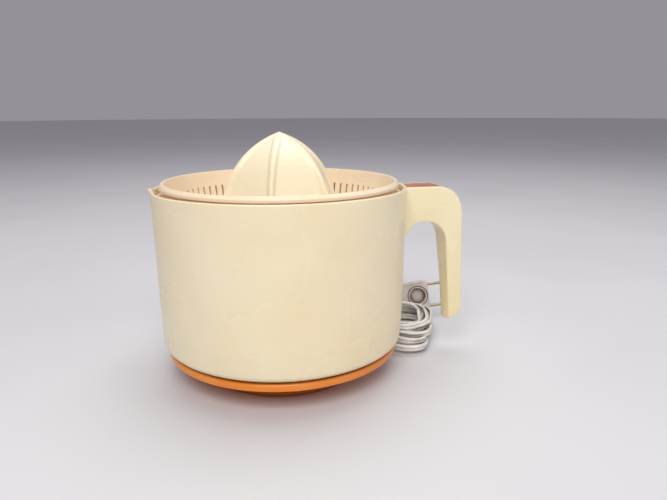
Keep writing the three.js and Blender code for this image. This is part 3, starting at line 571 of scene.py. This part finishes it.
def jug_wall(z):
    """The jug's outer radius, between its lower corner and its rim."""
    return mix(CORNER_R, RIM_R, (z - CORNER_TOP) / (RIM_TOP - CORNER_TOP))


def brim(point):
    """Lets the rim dip a little at the handle and the lip, and draws the small pointed lip out at -X."""
    x, y, z = point
    r = math.hypot(x, y)
    if r < BRIM_R or z < BRIM_LOW:
        return point
    z -= RIM_DIP * (x / r) ** 4 * smooth_step(BRIM_LOW, RIM_TOP, z)
    if x < 0 and abs(y) < LIP_HALF_WIDTH:
        drawn = (1 - abs(y) / LIP_HALF_WIDTH) ** 1.2 * smooth_step(LIP_BOTTOM, RIM_TOP - RIM_DIP, z)
        x -= LIP_REACH * drawn
        z += LIP_RISE * drawn
    return x, y, z


def make_jug():
    """A round shell, with a ledge for the strainer, a tower over the motor's and a lug for the handle."""
    outline = rounded([
        (46.5, 21.5, 0.8), (76.6, 21.5, 3.5), (82.1, 24.6, 4.5), (82.9, 40, 0), (RIM_R, RIM_TOP - 1.6, 0),
        (RIM_R, RIM_TOP, 0.75), (RIM_R - JUG_WALL, RIM_TOP, 0.75),
        (jug_wall(LEDGE_TOP) - JUG_WALL, LEDGE_TOP, 0.25), (jug_wall(LEDGE_TOP) - LEDGE_IN, LEDGE_TOP, 0.3),
        (jug_wall(LEDGE_LOW) - LEDGE_IN, LEDGE_LOW, 0.4), (jug_wall(115.6) - JUG_WALL, 115.6, 1),
        (80.3, 23.8, 5), (48.8, 23.8, 4), (47.2, 86, 3), (46.9, 95.3, 6),
        (14.7, 95.3, 1), (14.2, 110, 0.8), (12, 110, 0.6), (12, 93, 0.4), (44.6, 93, 5),
    ])
    shell = lathe("jug_body", dense(outline, 3), 320, brim)
    lug = box("lug", (81, -LUG_HALF_WIDTH, LUG_LOW), (LUG_OUT, LUG_HALF_WIDTH, LUG_TOP))
    lug = bevelled(lug, 0.6)
    for x in LUG_SCREWS:
        boolean(lug, "DIFFERENCE", rod("hole", LUG_HOLE_R, 107.5, 120, (x, 0)))
    return joined("jug_body", [shell, lug])


jug = make_jug()

# ------------------------------------------------------------------ jug handle

HANDLE_TOP, HANDLE_TOP_WIDTH = 125.4, 26.1
HANDLE_LOW, HANDLE_LOW_WIDTH = 27.3, 14.0
GRIP_BULGE, BULGE_TOP, END_SLOPE = 2.9, 84.0, 0.5
GRIP_FACE_X = (110, 123)
GRIP_SLICES, HANDLE_GAP = 14, 0.3
INLAY_OUT, INLAY_HALF_WIDTH, INLAY_LOW, INLAY_TOP = 111, 8.5, 122.6, 125.7


def handle_side():
    """Side view, X and Z: out from the jug, down, and a slanted end."""
    points = [(78, 78), (78, HANDLE_TOP), (106.5, HANDLE_TOP)]
    points += bezier(points[-1], (118.5, HANDLE_TOP), (124.6, 118.5), (125.8, 105), 28)
    points += [(126.4, 93.6), (130.3, 33), (129.6, 31.2), (122, 27), (121.2, 28.2), (115.3, BULGE_TOP)]
    points += bezier(points[-1], (114.6, 95.5), (108, 101.3), (98, 101.3), 22)
    points += bezier(points[-1], (90, 101.3), (84, 94), (82, 78), 22)
    return points


def handle_half_width(z):
    share = (z - HANDLE_LOW) / (HANDLE_TOP - HANDLE_LOW)
    return mix(HANDLE_LOW_WIDTH, HANDLE_TOP_WIDTH, share) / 2


def grip_point(x, z, across):
    """A point of the handle, across from -1 to 1. The grip's inner face swells towards the jug."""
    inner = GRIP_FACE_X[0] < x < GRIP_FACE_X[1] and z < BULGE_TOP
    down = min(1.0, (BULGE_TOP - z) / (BULGE_TOP - HANDLE_LOW)) if inner else 0.0
    bulge = GRIP_BULGE * down * (1 - across**2)
    return x - bulge, across * handle_half_width(z), z - bulge * END_SLOPE


def make_handle():
    """The grip, hollowed for the jug's wall and lug, with a pocket for the inlay and two screw holes."""
    outline = dense(handle_side(), 4)
    n = len(outline)
    half = GRIP_SLICES // 2
    points = [grip_point(x, z, k / half) for k in range(-half, half + 1) for x, z in outline]
    last = n * GRIP_SLICES
    faces = [tuple(range(n)), tuple(range(last, last + n))[::-1]]
    for i in range(0, last, n):
        faces += [(i + k, i + n + k, i + n + (k + 1) % n, i + (k + 1) % n) for k in range(n)]
    grip = bevelled(mesh_object("jug_grip", points, faces), 1.1, 4, 24)
    lower, upper = (jug_wall(z) + HANDLE_GAP for z in (60, 140))
    body = lathe("jug_space", [(0, 60), (lower, 60), (upper, 140), (0, 140)], 320)
    wide = INLAY_HALF_WIDTH + HANDLE_GAP
    pocket = box("pocket", (80, -wide, INLAY_LOW - HANDLE_GAP), (INLAY_OUT + HANDLE_GAP, wide, 130))
    wide, low, high = LUG_HALF_WIDTH + HANDLE_GAP, LUG_LOW - HANDLE_GAP, LUG_TOP + HANDLE_GAP
    lug_space = box("lug_space", (70, -wide, low), (LUG_OUT + HANDLE_GAP, wide, high))
    boolean(grip, "DIFFERENCE", body, pocket, lug_space)
    for x in LUG_SCREWS:
        hole, sink = rod("hole", LUG_HOLE_R, 110, 124, (x, 0)), rod("sink", 3, 120, 124, (x, 0))
        boolean(grip, "DIFFERENCE", hole, sink)
    return grip


def make_inlay():
    """The strip let into the top of the handle's arm."""
    start = jug_wall(125) + 1
    side = [(start, INLAY_LOW), (INLAY_OUT, INLAY_LOW), (INLAY_OUT, INLAY_TOP - 1.1),
            (INLAY_OUT - 2.8, INLAY_TOP), (start, INLAY_TOP)]
    inlay = prism("grip_inlay", dense(side, 3), -INLAY_HALF_WIDTH, INLAY_HALF_WIDTH)
    inlay.data.transform(Matrix.Rotation(math.pi / 2, 4, "X"))
    return bevelled(inlay, 0.35, 3, 25)


handle = make_handle()
inlay = make_inlay()

# ------------------------------------------------------------------ strainer

SLOTS, SLOT_WIDTH, SLOT_TOP, SLOT_LOW, SLOT_TURN = 80, 1.6, 121.5, 106.5, -1.7
FLOOR_SLOTS, FLOOR_SLOT_WIDTH, FLOOR_SLOT_IN, FLOOR_SLOT_OUT = 20, 2.0, 45, 64


def slot_cutter(outline, place, low, high, turn):
    """A flat outline drawn out from low to high. place turns a level and an outline point into x, y, z."""
    spin = Matrix.Rotation(math.radians(turn), 4, "Z")
    points = [spin @ Vector(place(level, point)) for level in (low, high) for point in outline]
    n = len(outline)
    faces = [tuple(range(n)), tuple(range(n, 2 * n))[::-1]]
    faces += [(k, n + k, n + (k + 1) % n, (k + 1) % n) for k in range(n)]
    return mesh_object("slot", points, faces)


def slot_outline(x0, x1, y0, y1, radius):
    return rounded([(x0, y0, radius), (x1, y0, radius), (x1, y1, radius), (x0, y1, radius)], 3)


def wall_slot(turn):
    outline = slot_outline(-SLOT_WIDTH / 2, SLOT_WIDTH / 2, SLOT_LOW, SLOT_TOP, 0.7)
    return slot_cutter(outline, lambda r, point: (r, *point), 66, 90, turn)


def floor_slot(turn):
    outline = slot_outline(FLOOR_SLOT_IN, FLOOR_SLOT_OUT, -FLOOR_SLOT_WIDTH / 2, FLOOR_SLOT_WIDTH / 2, 0.95)
    return slot_cutter(outline, lambda z, point: (*point, z), 90, 105, turn)


def make_strainer():
    """A bowl with a rim to hang by and a collar, and with slots in its wall and its floor."""
    outline = rounded([
        (14.8, 102, 0.3), (69.6, 102, 2), (72.8, 103.4, 2), (76.4, 121.9, 0.2), (81.5, 121.9, 0.35),
        (81.5, 123.6, 0.5), (76.6, 123.6, 0.5), (77.1, 128.2, 0.3), (79.2, 128.4, 0.25), (79.0, 130.2, 0.3),
        (77.6, 132, 0.25), (75.8, 132, 0.3), (75.5, 130.6, 0),
        (71, 106.5, 2.5), (68.5, 104, 2.5), (16.6, 104, 1), (16.6, 113, 0.7),
        (8.6, 113, 0.3), (8.6, 111, 0), (14.8, 111, 0.3),
    ])
    bowl = lathe("strainer_bowl", dense(outline, 3), 320)
    cuts = [wall_slot((k + 0.5) * 360 / SLOTS + SLOT_TURN) for k in range(SLOTS)]
    cuts += [floor_slot((k + 0.25) * 360 / FLOOR_SLOTS + SLOT_TURN) for k in range(FLOOR_SLOTS)]
    return boolean(bowl, "DIFFERENCE", joined("slots", cuts))


strainer = make_strainer()

# ------------------------------------------------------------------ reamer cone

CONE_BOTTOM, CONE_BASE_R, CONE_APEX = 107.0, 43.0, 163.4
RIBS, RIB_AZIMUTH = 6, 15.26
CONE_ROWS = 90
BEAD_STEPS, PANEL_STEPS = 8, 8
# At the cone's foot and at its top.
CREST_HALF_WIDTH, RIB_HEIGHT = (1.1, 2.4), (2.7, 1.7)
FILLET = 1.8
SOCKET_HALF = 4.3
CONE_SHARP = 40
CONE_COLUMNS = RIBS * 2 * (BEAD_STEPS + PANEL_STEPS)
HALF_PANEL = 180 / RIBS


def rib_shape(r, share_up, step):
    """(degrees from the rib's middle, radius as a share of the rib's), step by step to the panel's middle.

    Flat panels meet under each rib, which stands on them as a round bead with soft fillets.
    """
    crest = mix(*CREST_HALF_WIDTH, smooth_step(0.3, 0.95, share_up))
    height = min(mix(*RIB_HEIGHT, share_up), 0.11 * r)
    foot = min(math.degrees((crest + FILLET) / r), 0.8 * HALF_PANEL)
    if step <= BEAD_STEPS:
        off = foot * step / BEAD_STEPS
    else:
        off = mix(foot, HALF_PANEL, (step - BEAD_STEPS) / PANEL_STEPS)
    flat = (1 - height / r) * math.cos(math.radians(HALF_PANEL)) / math.cos(math.radians(HALF_PANEL - off))
    bead = height / r * (1 - smooth_step(0.3 * foot, foot, off))
    return off, mix(flat + bead, 1.0, 0.85 * smooth_step(0.9, 1.0, share_up))


def make_cone():
    """The ribbed shell, with a tube down its middle and a square socket for the spindle."""
    outer = [(CONE_BASE_R, CONE_BOTTOM)]
    outer += bezier(outer[0], (39.5, 136), (26, 155), (0, CONE_APEX), CONE_ROWS)
    inner = [(r - 2.6, z - 1.8) for r, z in outer if r > 3.2]
    inner[0] = (inner[0][0], CONE_BOTTOM)
    outline = outer + [(0.0, inner[-1][1] - 0.6)] + inner[::-1]

    def ribbed(point):
        x, y, z = point
        r = math.hypot(x, y)
        if r < 0.01:
            return point
        column = round(math.degrees(math.atan2(y, x)) / 360 * CONE_COLUMNS) % CONE_COLUMNS
        half = BEAD_STEPS + PANEL_STEPS
        rib, place = divmod(column + half, 2 * half)
        share_up = min(1.0, max(0.0, (z - CONE_BOTTOM) / (CONE_APEX - CONE_BOTTOM)))
        off, factor = rib_shape(r, share_up, abs(place - half))
        azimuth = RIB_AZIMUTH + rib * 2 * HALF_PANEL + math.copysign(off, place - half)
        return *(c * factor for c in polar(r, azimuth)), z

    cone = lathe("reamer", outline, CONE_COLUMNS, ribbed, CONE_SHARP)
    tube = lathe("tube", rounded([(0, 119.4, 0), (8, 119.4, 0.4), (8, 158.5, 0), (0, 158.5, 0)]), 48)
    boolean(cone, "UNION", tube, angle=CONE_SHARP)
    socket = box("socket", (-SOCKET_HALF, -SOCKET_HALF, 100), (SOCKET_HALF, SOCKET_HALF, 146))
    return boolean(cone, "DIFFERENCE", socket, angle=CONE_SHARP)


cone = make_cone()

# ------------------------------------------------------------------ return spring under the sleeve

SPRING_AT, SPRING_LOW, SPRING_HIGH = (0, 26), 62.3, 79.7
SPRING_R, SPRING_WIRE_R, SPRING_TURNS = 2.6, 0.45, 5
STEPS_PER_TURN = 32


def make_spring():
    """A helix of round wire."""
    steps = SPRING_TURNS * STEPS_PER_TURN
    line = []
    for k in range(steps + 1):
        x, y = polar(SPRING_R, 360 * SPRING_TURNS * k / steps)
        z = mix(SPRING_LOW + SPRING_WIRE_R, SPRING_HIGH - SPRING_WIRE_R, k / steps)
        line.append((SPRING_AT[0] + x, SPRING_AT[1] + y, z, 0))
    return swept("spring_wire", line, [polar(SPRING_WIRE_R, 30 * k) for k in range(12)])


spring = make_spring()
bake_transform(spring)
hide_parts("return_spring")

# ------------------------------------------------------------------ materials


class Graph:
    """A node material in the making. Every texture reads the object's own coordinates, in metres."""

    def __init__(self, name):
        self.material = bpy.data.materials.new(name)
        self.material.use_nodes = True
        self.tree = self.material.node_tree
        self.tree.nodes.clear()
        output = self.node("ShaderNodeOutputMaterial")
        self.shader = self.node("ShaderNodeBsdfPrincipled")
        self.link(self.shader.outputs["BSDF"], output.inputs["Surface"])
        self.place = self.node("ShaderNodeTexCoord").outputs["Object"]

    def node(self, kind, **settings):
        made = self.tree.nodes.new(kind)
        for key, value in settings.items():
            setattr(made, key, value)
        return made

    def link(self, source, target):
        if isinstance(source, (int, float, tuple)):
            target.default_value = source
        else:
            self.tree.links.new(source, target)

    def stretched(self, scale, turn=(0, 0, 0)):
        mapping = self.node("ShaderNodeMapping")
        mapping.inputs["Scale"].default_value = scale
        mapping.inputs["Rotation"].default_value = turn
        self.link(self.place, mapping.inputs["Vector"])
        return mapping.outputs[0]

    def noise(self, scale, detail, roughness=0.55, distortion=0.0, at=None):
        made = self.node("ShaderNodeTexNoise")
        self.link(at or self.place, made.inputs["Vector"])
        made.inputs["Scale"].default_value = scale
        made.inputs["Detail"].default_value = detail
        made.inputs["Roughness"].default_value = roughness
        made.inputs["Distortion"].default_value = distortion
        return made.outputs[0]

    def ramp(self, value, low, high, to_low=0.0, to_high=1.0):
        """A smooth change from to_low to to_high while value goes from low to high."""
        made = self.node("ShaderNodeMapRange", interpolation_type="SMOOTHSTEP")
        self.link(value, made.inputs[0])
        for i, number in enumerate((low, high, to_low, to_high)):
            made.inputs[i + 1].default_value = number
        return made.outputs[0]

    def math(self, operation, a, b):
        made = self.node("ShaderNodeMath", operation=operation)
        self.link(a, made.inputs[0])
        self.link(b, made.inputs[1])
        return made.outputs[0]

    def blend(self, factor, a, b):
        made = self.node("ShaderNodeMix", data_type="RGBA")
        self.link(factor, made.inputs[0])
        self.link(a, made.inputs[6])
        self.link(b, made.inputs[7])
        return made.outputs[2]

    def edges(self):
        """1 on outer edges, 0 elsewhere."""
        pointiness = self.node("ShaderNodeNewGeometry").outputs["Pointiness"]
        return self.ramp(pointiness, 0.52, 0.62)

    def corners(self, reach, low, high, most, least):
        """A mask for painted shade, from ambient occlusion: most in tight corners, least in the open. reach
        is in metres.
        """
        occlusion = self.node("ShaderNodeAmbientOcclusion", samples=6)
        occlusion.inputs["Distance"].default_value = reach
        return self.ramp(occlusion.outputs["AO"], low, high, most, least)

    def bump(self, height, distance, strength, below=None):
        made = self.node("ShaderNodeBump")
        made.inputs["Strength"].default_value = strength
        made.inputs["Distance"].default_value = distance
        self.link(height, made.inputs["Height"])
        if below:
            self.link(below, made.inputs["Normal"])
        return made.outputs[0]

    def finish(self, color, roughness, normal=None, **constants):
        self.link(color, self.shader.inputs["Base Color"])
        self.link(roughness, self.shader.inputs["Roughness"])
        if normal:
            self.link(normal, self.shader.inputs["Normal"])
        for key, value in constants.items():
            self.shader.inputs[key].default_value = value
        return self.material


def srgb(r, g, b):
    """A colour given in 0-255 display values."""

    def linear(c):
        c /= 255
        return c / 12.92 if c <= 0.04045 else ((c + 0.055) / 1.055) ** 2.4

    return linear(r), linear(g), linear(b), 1.0


def moulded_plastic(name, main, aged, pale, roughness, speck_and_shade_color=None, scuffs=0.35, glow=0.0):
    """Old glossy moulding: uneven yellowing, faint flow marks, specks, rubbed edges that also carry painted
    highlights, and hairlines; given a speck colour, also painted shade in corners.
    """
    g = Graph(name)
    clouds = g.ramp(g.noise(13, 1, 0.4, 0.2), 0.2, 0.8, 0.0, 0.8)
    patches = g.ramp(g.noise(30, 1, 0.4, 0.2), 0.35, 0.85, 0.0, 0.22)
    color = g.blend(clouds, srgb(*main), srgb(*aged))
    color = g.blend(patches, color, srgb(*pale))
    flow = g.ramp(g.noise(20, 2, 0.45, 0.5, g.stretched((1, 1, 0.35))), 0.45, 0.9, 0, 0.12)
    color = g.blend(flow, color, srgb(*aged))
    specks = g.ramp(g.noise(620, 2, 0.5), 0.735, 0.78, 0, 0.45)
    color = g.blend(specks, color, srgb(*(speck_and_shade_color or tuple(c * 0.55 for c in aged))))
    # Painted shade: the speck colour is laid into corners and crevices found by ambient occlusion.
    if speck_and_shade_color:
        color = g.blend(g.corners(0.006, 0.2, 0.75, 0.4, 0.0), color, srgb(*speck_and_shade_color))
    # Rubbed edges, lightened towards the pale colour; the lightening also stands in as painted highlights
    # on edges and rib crests.
    rubbed_and_highlit = g.math("MULTIPLY", g.edges(), g.ramp(g.noise(140, 3), 0.3, 0.62, 0.25, 0.9))
    color = g.blend(rubbed_and_highlit, color, srgb(*pale))
    across = g.ramp(g.noise(45, 2, 0.5, 0.4, g.stretched((1.2, 1.2, 26), (0.5, 0.3, 0))), 0.66, 0.7)
    down = g.ramp(g.noise(38, 2, 0.5, 0.5, g.stretched((18, 18, 1.1), (0.2, -0.4, 0.3))), 0.68, 0.72)
    hairs = g.math("MULTIPLY", g.math("MAXIMUM", across, down), scuffs)
    dull = g.ramp(g.noise(24, 3, 0.5, 0.4), 0.3, 0.75, roughness - 0.03, roughness + 0.07)
    rough = g.math("ADD", dull, g.math("MULTIPLY", hairs, 0.15))
    grain = g.bump(g.noise(2600, 2, 0.5), 0.00003, 0.35)
    waves = g.bump(g.noise(34, 1, 0.4), 0.0002, 0.07, grain)
    normal = g.bump(hairs, 0.00001, -0.15, waves)
    constants = {"IOR": 1.49, "Specular IOR Level": 0.5}
    if glow:
        constants.update({"Subsurface Weight": glow, "Subsurface Scale": 0.004,
                          "Subsurface Radius": (1.0, 0.55, 0.25)})
    return g.finish(color, rough, normal, **constants)


def metal(name, main, stain, roughness):
    """Machined metal: fine tool lines, smudges and a little tarnish."""
    g = Graph(name)
    lines = g.noise(900, 2, 0.6, 0.0, g.stretched((1, 1, 20)))
    tarnish = g.ramp(g.noise(150, 4, 0.6, 0.4), 0.42, 0.7, 0, 0.75)
    color = g.blend(tarnish, srgb(*main), srgb(*stain))
    color = g.blend(g.math("MULTIPLY", g.edges(), 0.4), color, srgb(*(min(255, c * 1.15) for c in main)))
    rough = g.math("ADD", g.ramp(lines, 0.3, 0.7, roughness - 0.06, roughness + 0.1),
                   g.math("MULTIPLY", tarnish, 0.2))
    return g.finish(color, rough, g.bump(lines, 0.00002, 0.4), Metallic=1.0)


def soft_vinyl(name, main, dirt_and_crevice_shade, pale, roughness, dark_ring_at=None):
    """Flexible vinyl: matt and a little grubby, with painted shade in its crevices, and a darker ring round
    a point if one is given.
    """
    g = Graph(name)
    smears = g.ramp(g.noise(120, 4, 0.65, 0.5), 0.4, 0.72, 0, 0.75)
    color = g.blend(smears, srgb(*main), srgb(*dirt_and_crevice_shade))
    color = g.blend(g.ramp(g.noise(36, 2), 0.45, 0.65, 0, 0.6), color, srgb(*pale))
    color = g.blend(g.ramp(g.noise(800, 2), 0.68, 0.74, 0, 0.5), color, srgb(*(c * 0.6 for c in dirt_and_crevice_shade)))
    # Painted shade: a darker copy of the second colour laid into crevices found by ambient occlusion, such
    # as the gaps between the cord's laps.
    color = g.blend(g.corners(0.005, 0.3, 0.95, 0.9, 0.0), color, srgb(*(c * 0.4 for c in dirt_and_crevice_shade)))
    # A patchy darker ring round the given point, on the plug dish's sloping wall and rim.
    if dark_ring_at:
        away = g.node("ShaderNodeVectorMath", operation="DISTANCE")
        g.link(g.place, away.inputs[0])
        away.inputs[1].default_value = dark_ring_at
        ring = g.math("MULTIPLY", g.ramp(away.outputs["Value"], 0.0045, 0.0068),
                      g.ramp(away.outputs["Value"], 0.0076, 0.0084, 0.85, 0.0))
        patchy = g.math("MULTIPLY", ring, g.ramp(g.noise(150, 2), 0.3, 0.6, 0.5, 1.0))
        color = g.blend(patchy, color, srgb(*(c * 0.45 for c in dirt_and_crevice_shade)))
    rough = g.ramp(g.noise(200, 3), 0.3, 0.7, roughness - 0.08, roughness + 0.12)
    normal = g.bump(g.noise(1800, 3), 0.00004, 0.5, g.bump(g.noise(220, 2), 0.0001, 0.4))
    return g.finish(color, rough, normal, IOR=1.5)


def rubber(name, main, dust):
    """Matt rubber with dust on it."""
    g = Graph(name)
    powder = g.ramp(g.noise(300, 4, 0.7), 0.45, 0.75, 0, 0.6)
    color = g.blend(powder, srgb(*main), srgb(*dust))
    color = g.blend(g.math("MULTIPLY", g.edges(), 0.5), color, srgb(*dust))
    rough = g.ramp(g.noise(500, 2), 0.3, 0.7, 0.75, 0.92)
    return g.finish(color, rough, g.bump(g.noise(2200, 3), 0.00006, 0.7))


def laminated(name, main, gap):
    """A stack of thin steel sheets: fine level lines, with rust in places."""
    g = Graph(name)
    sheets = g.node("ShaderNodeTexWave", wave_type="BANDS", bands_direction="Z", wave_profile="SIN")
    sheets.inputs["Scale"].default_value = 314
    sheets.inputs["Distortion"].default_value = 0.4
    g.link(g.place, sheets.inputs["Vector"])
    seams = g.ramp(sheets.outputs[1], 0.0, 0.35, 1, 0)
    color = g.blend(seams, srgb(*main), srgb(*gap))
    color = g.blend(g.ramp(g.noise(190, 4, 0.6), 0.55, 0.72, 0, 0.6), color, srgb(120, 74, 46))
    rough = g.ramp(g.noise(260, 3), 0.3, 0.7, 0.38, 0.6)
    return g.finish(color, rough, g.bump(sheets.outputs[1], 0.00006, 0.6), Metallic=0.9)


def wound(name, main, dark):
    """Varnished tape wrapped round a coil."""
    g = Graph(name)
    wraps = g.node("ShaderNodeTexWave", wave_type="BANDS", bands_direction="X", wave_profile="SAW")
    wraps.inputs["Scale"].default_value = 160
    wraps.inputs["Distortion"].default_value = 0.8
    g.link(g.place, wraps.inputs["Vector"])
    color = g.blend(g.ramp(wraps.outputs[1], 0.7, 1.0), srgb(*main), srgb(*dark))
    color = g.blend(g.ramp(g.noise(90, 3), 0.4, 0.7, 0, 0.5), color, srgb(*dark))
    rough = g.ramp(g.noise(300, 3), 0.3, 0.7, 0.35, 0.55)
    return g.finish(color, rough, g.bump(wraps.outputs[1], 0.0002, 0.6))


def plain_moulding(name, main, aged, pale, roughness):
    """Engineering plastic out of sight, with fewer scratches."""
    return moulded_plastic(name, main, aged, pale, roughness, scuffs=0.2)


# In moulded_plastic the colour after the roughness tints the specks and is laid into corners as painted
# shade; in soft_vinyl the second colour serves for dirt and, darker, as painted shade in crevices.
MATERIALS = {
    "jug": moulded_plastic("jug_cream", (238, 226, 193), (233, 214, 176), (248, 240, 216), 0.27,
                           (204, 156, 104), scuffs=0.12, glow=0.12),
    "strainer": moulded_plastic("strainer_cream", (242, 225, 198), (236, 214, 182), (252, 243, 224), 0.3,
                                (210, 160, 112), scuffs=0.1, glow=0.12),
    "handle": moulded_plastic("handle_cream", (240, 228, 190), (236, 220, 174), (252, 246, 222), 0.27,
                              (206, 172, 116), scuffs=0.12, glow=0.1),
    "cone": moulded_plastic("cone_cream", (246, 235, 206), (241, 225, 188), (255, 252, 238), 0.24,
                            (222, 190, 138), scuffs=0.1, glow=0.12),
    "orange": moulded_plastic("orange_moulding", (232, 137, 36), (214, 119, 28), (252, 192, 130), 0.25,
                              (120, 52, 10), scuffs=0.2),
    # Painted shade: a darker copy of the housing's orange, for the shadow under the flange.
    "dark_orange": moulded_plastic("orange_moulding_painted_darker", (205, 112, 38), (186, 92, 24), (226, 140, 70),
                                   0.38, (92, 40, 10)),
    "terracotta": moulded_plastic("terracotta_moulding", (174, 96, 78), (158, 84, 66), (200, 130, 110),
                                  0.34, (104, 48, 34)),
    "vinyl": soft_vinyl("cord_vinyl", (230, 227, 219), (188, 182, 168), (242, 240, 235), 0.5),
    "plug": soft_vinyl("plug_vinyl", (224, 214, 208), (192, 174, 160), (240, 233, 229), 0.46,
                       (PLUG_AT + plug_turn() @ Vector((*DISH_AT, 0))) * MM),
    "rubber": rubber("pad_rubber", (44, 41, 38), (92, 84, 74)),
    "steel": metal("bright_steel", (188, 190, 192), (128, 118, 106), 0.3),
    "brass": metal("pin_brass", (166, 154, 124), (116, 108, 88), 0.34),
    "bronze": metal("sintered_bronze", (164, 118, 70), (112, 76, 46), 0.45),
    "laminations": laminated("steel_laminations", (134, 137, 142), (44, 42, 42)),
    "winding": wound("coil_tape", (186, 104, 48), (120, 58, 26)),
    "nylon": plain_moulding("natural_nylon", (228, 224, 210), (210, 202, 180), (238, 236, 228), 0.42),
    "black": plain_moulding("black_moulding", (40, 40, 44), (30, 30, 33), (64, 64, 68), 0.45),
    "coral": plain_moulding("plunger_moulding", (176, 92, 70), (156, 76, 56), (196, 116, 94), 0.42),
}


def paint(obj, finish):
    obj.data.materials.clear()
    obj.data.materials.append(MATERIALS[finish])


# ------------------------------------------------------------------ pieces

# Each piece with the body it moves with, the CAD node it replaces, its slot and its finish.
PIECES = [
    (plug, "base", "plug_body", "cord_pvc", "plug"),
    *((pin, "base", f"plug_pin_{i}", "brass", "brass") for i, pin in enumerate(pins, 1)),
    (relief, "base", "strain_relief", "cord_pvc", "vinyl"),
    # The pan takes the darker copy of the orange, which is painted shade.
    (pan, "base", "base_pan", "dark_orange_plastic", "dark_orange"),
    (housing, "base", "base_housing", "orange_plastic", "orange"),
    *((pad, "base", f"foot_{i}", "pad_rubber", "rubber") for i, pad in enumerate(pads, 1)),
    (jug, "jug", "jug", "cream_plastic", "jug"),
    (handle, "jug", "jug_handle", "handle_plastic", "handle"),
    (inlay, "jug", "handle_inlay", "terracotta_plastic", "terracotta"),
    (strainer, "strainer", "strainer", "cream_plastic", "strainer"),
    (cone, "cone", "reamer_cone", "cone_plastic", "cone"),
]
for obj, body, node, slot, finish in PIECES:
    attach(obj, body)
    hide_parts(node)
    paint(obj, finish)
paint(cord, "vinyl")
paint(spring, "steel")

# The CAD nodes that no piece replaces, by finish.
CAD_FINISHES = {
    "laminations": ["stator", "coil_core", "rotor_core"],
    "nylon": ["coil_bobbin", "idler_gear", "output_gear", "press_sleeve", "spindle_bush", "drive_spindle",
              "terminal_block", "cord_clamp"],
    "winding": ["coil_winding"],
    "bronze": ["shading_ring_1", "shading_ring_2", "bearing_lower", "bearing_upper"],
    "brass": ["motor_pinion"],
    "black": ["micro_switch"],
    "coral": ["switch_plunger"],
    "steel": ["motor_bracket", "rotor_shaft", "gear_plate", "idler_post", "output_shaft", "shaft_clip",
              *(f"{screw}_{k}" for screw in ("motor_screw", "handle_screw") for k in (1, 2)),
              *(f"{screw}_{k}" for screw in ("gear_plate_screw", "pan_screw") for k in (1, 2, 3))],
}
for finish, names in CAD_FINISHES.items():
    for name in names:
        paint(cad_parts[name], finish)

# ------------------------------------------------------------------ floor, light and surroundings


def make_floor():
    bpy.ops.mesh.primitive_circle_add(vertices=96, radius=9, fill_type="NGON", location=(0, 0, -0.0002))
    floor = bpy.context.object
    floor.name = "floor"
    g = Graph("floor_pale")
    color = g.blend(g.ramp(g.noise(3, 3), 0.3, 0.7, 0, 0.5), srgb(214, 215, 218), srgb(206, 207, 211))
    floor.data.materials.append(g.finish(color, g.ramp(g.noise(9, 3), 0.3, 0.7, 0.55, 0.7)))


def area_light(name, at, target, size, power, color):
    data = bpy.data.lights.new(name, "AREA")
    data.shape = "RECTANGLE"
    data.size, data.size_y = size
    data.energy = power
    data.color = color
    light = bpy.data.objects.new(name, data)
    light.location = at
    light.rotation_euler = (Vector(target) - Vector(at)).to_track_quat("-Z", "Y").to_euler()
    SCENE.collection.objects.link(light)


def make_world():
    world = bpy.data.worlds.new("world")
    world.use_nodes = True
    background = world.node_tree.nodes["Background"]
    background.inputs["Color"].default_value = (0.88, 0.83, 0.92, 1)
    background.inputs["Strength"].default_value = 0.34
    SCENE.world = world


make_floor()
make_world()
area_light("key", (-0.25, -1.15, 1.2), (0, 0, 0.08), (1.0, 0.8), 18.5, (1.0, 0.975, 0.94))
area_light("top", (0.15, 0.35, 1.5), (0, 0, 0.05), (1.2, 1.0), 11, (1.0, 0.99, 0.97))
area_light("fill", (1.2, -0.7, 0.7), (0, 0, 0.08), (0.9, 0.9), 2, (1.0, 0.96, 0.92))
SCENE.view_settings.view_transform = "Standard"
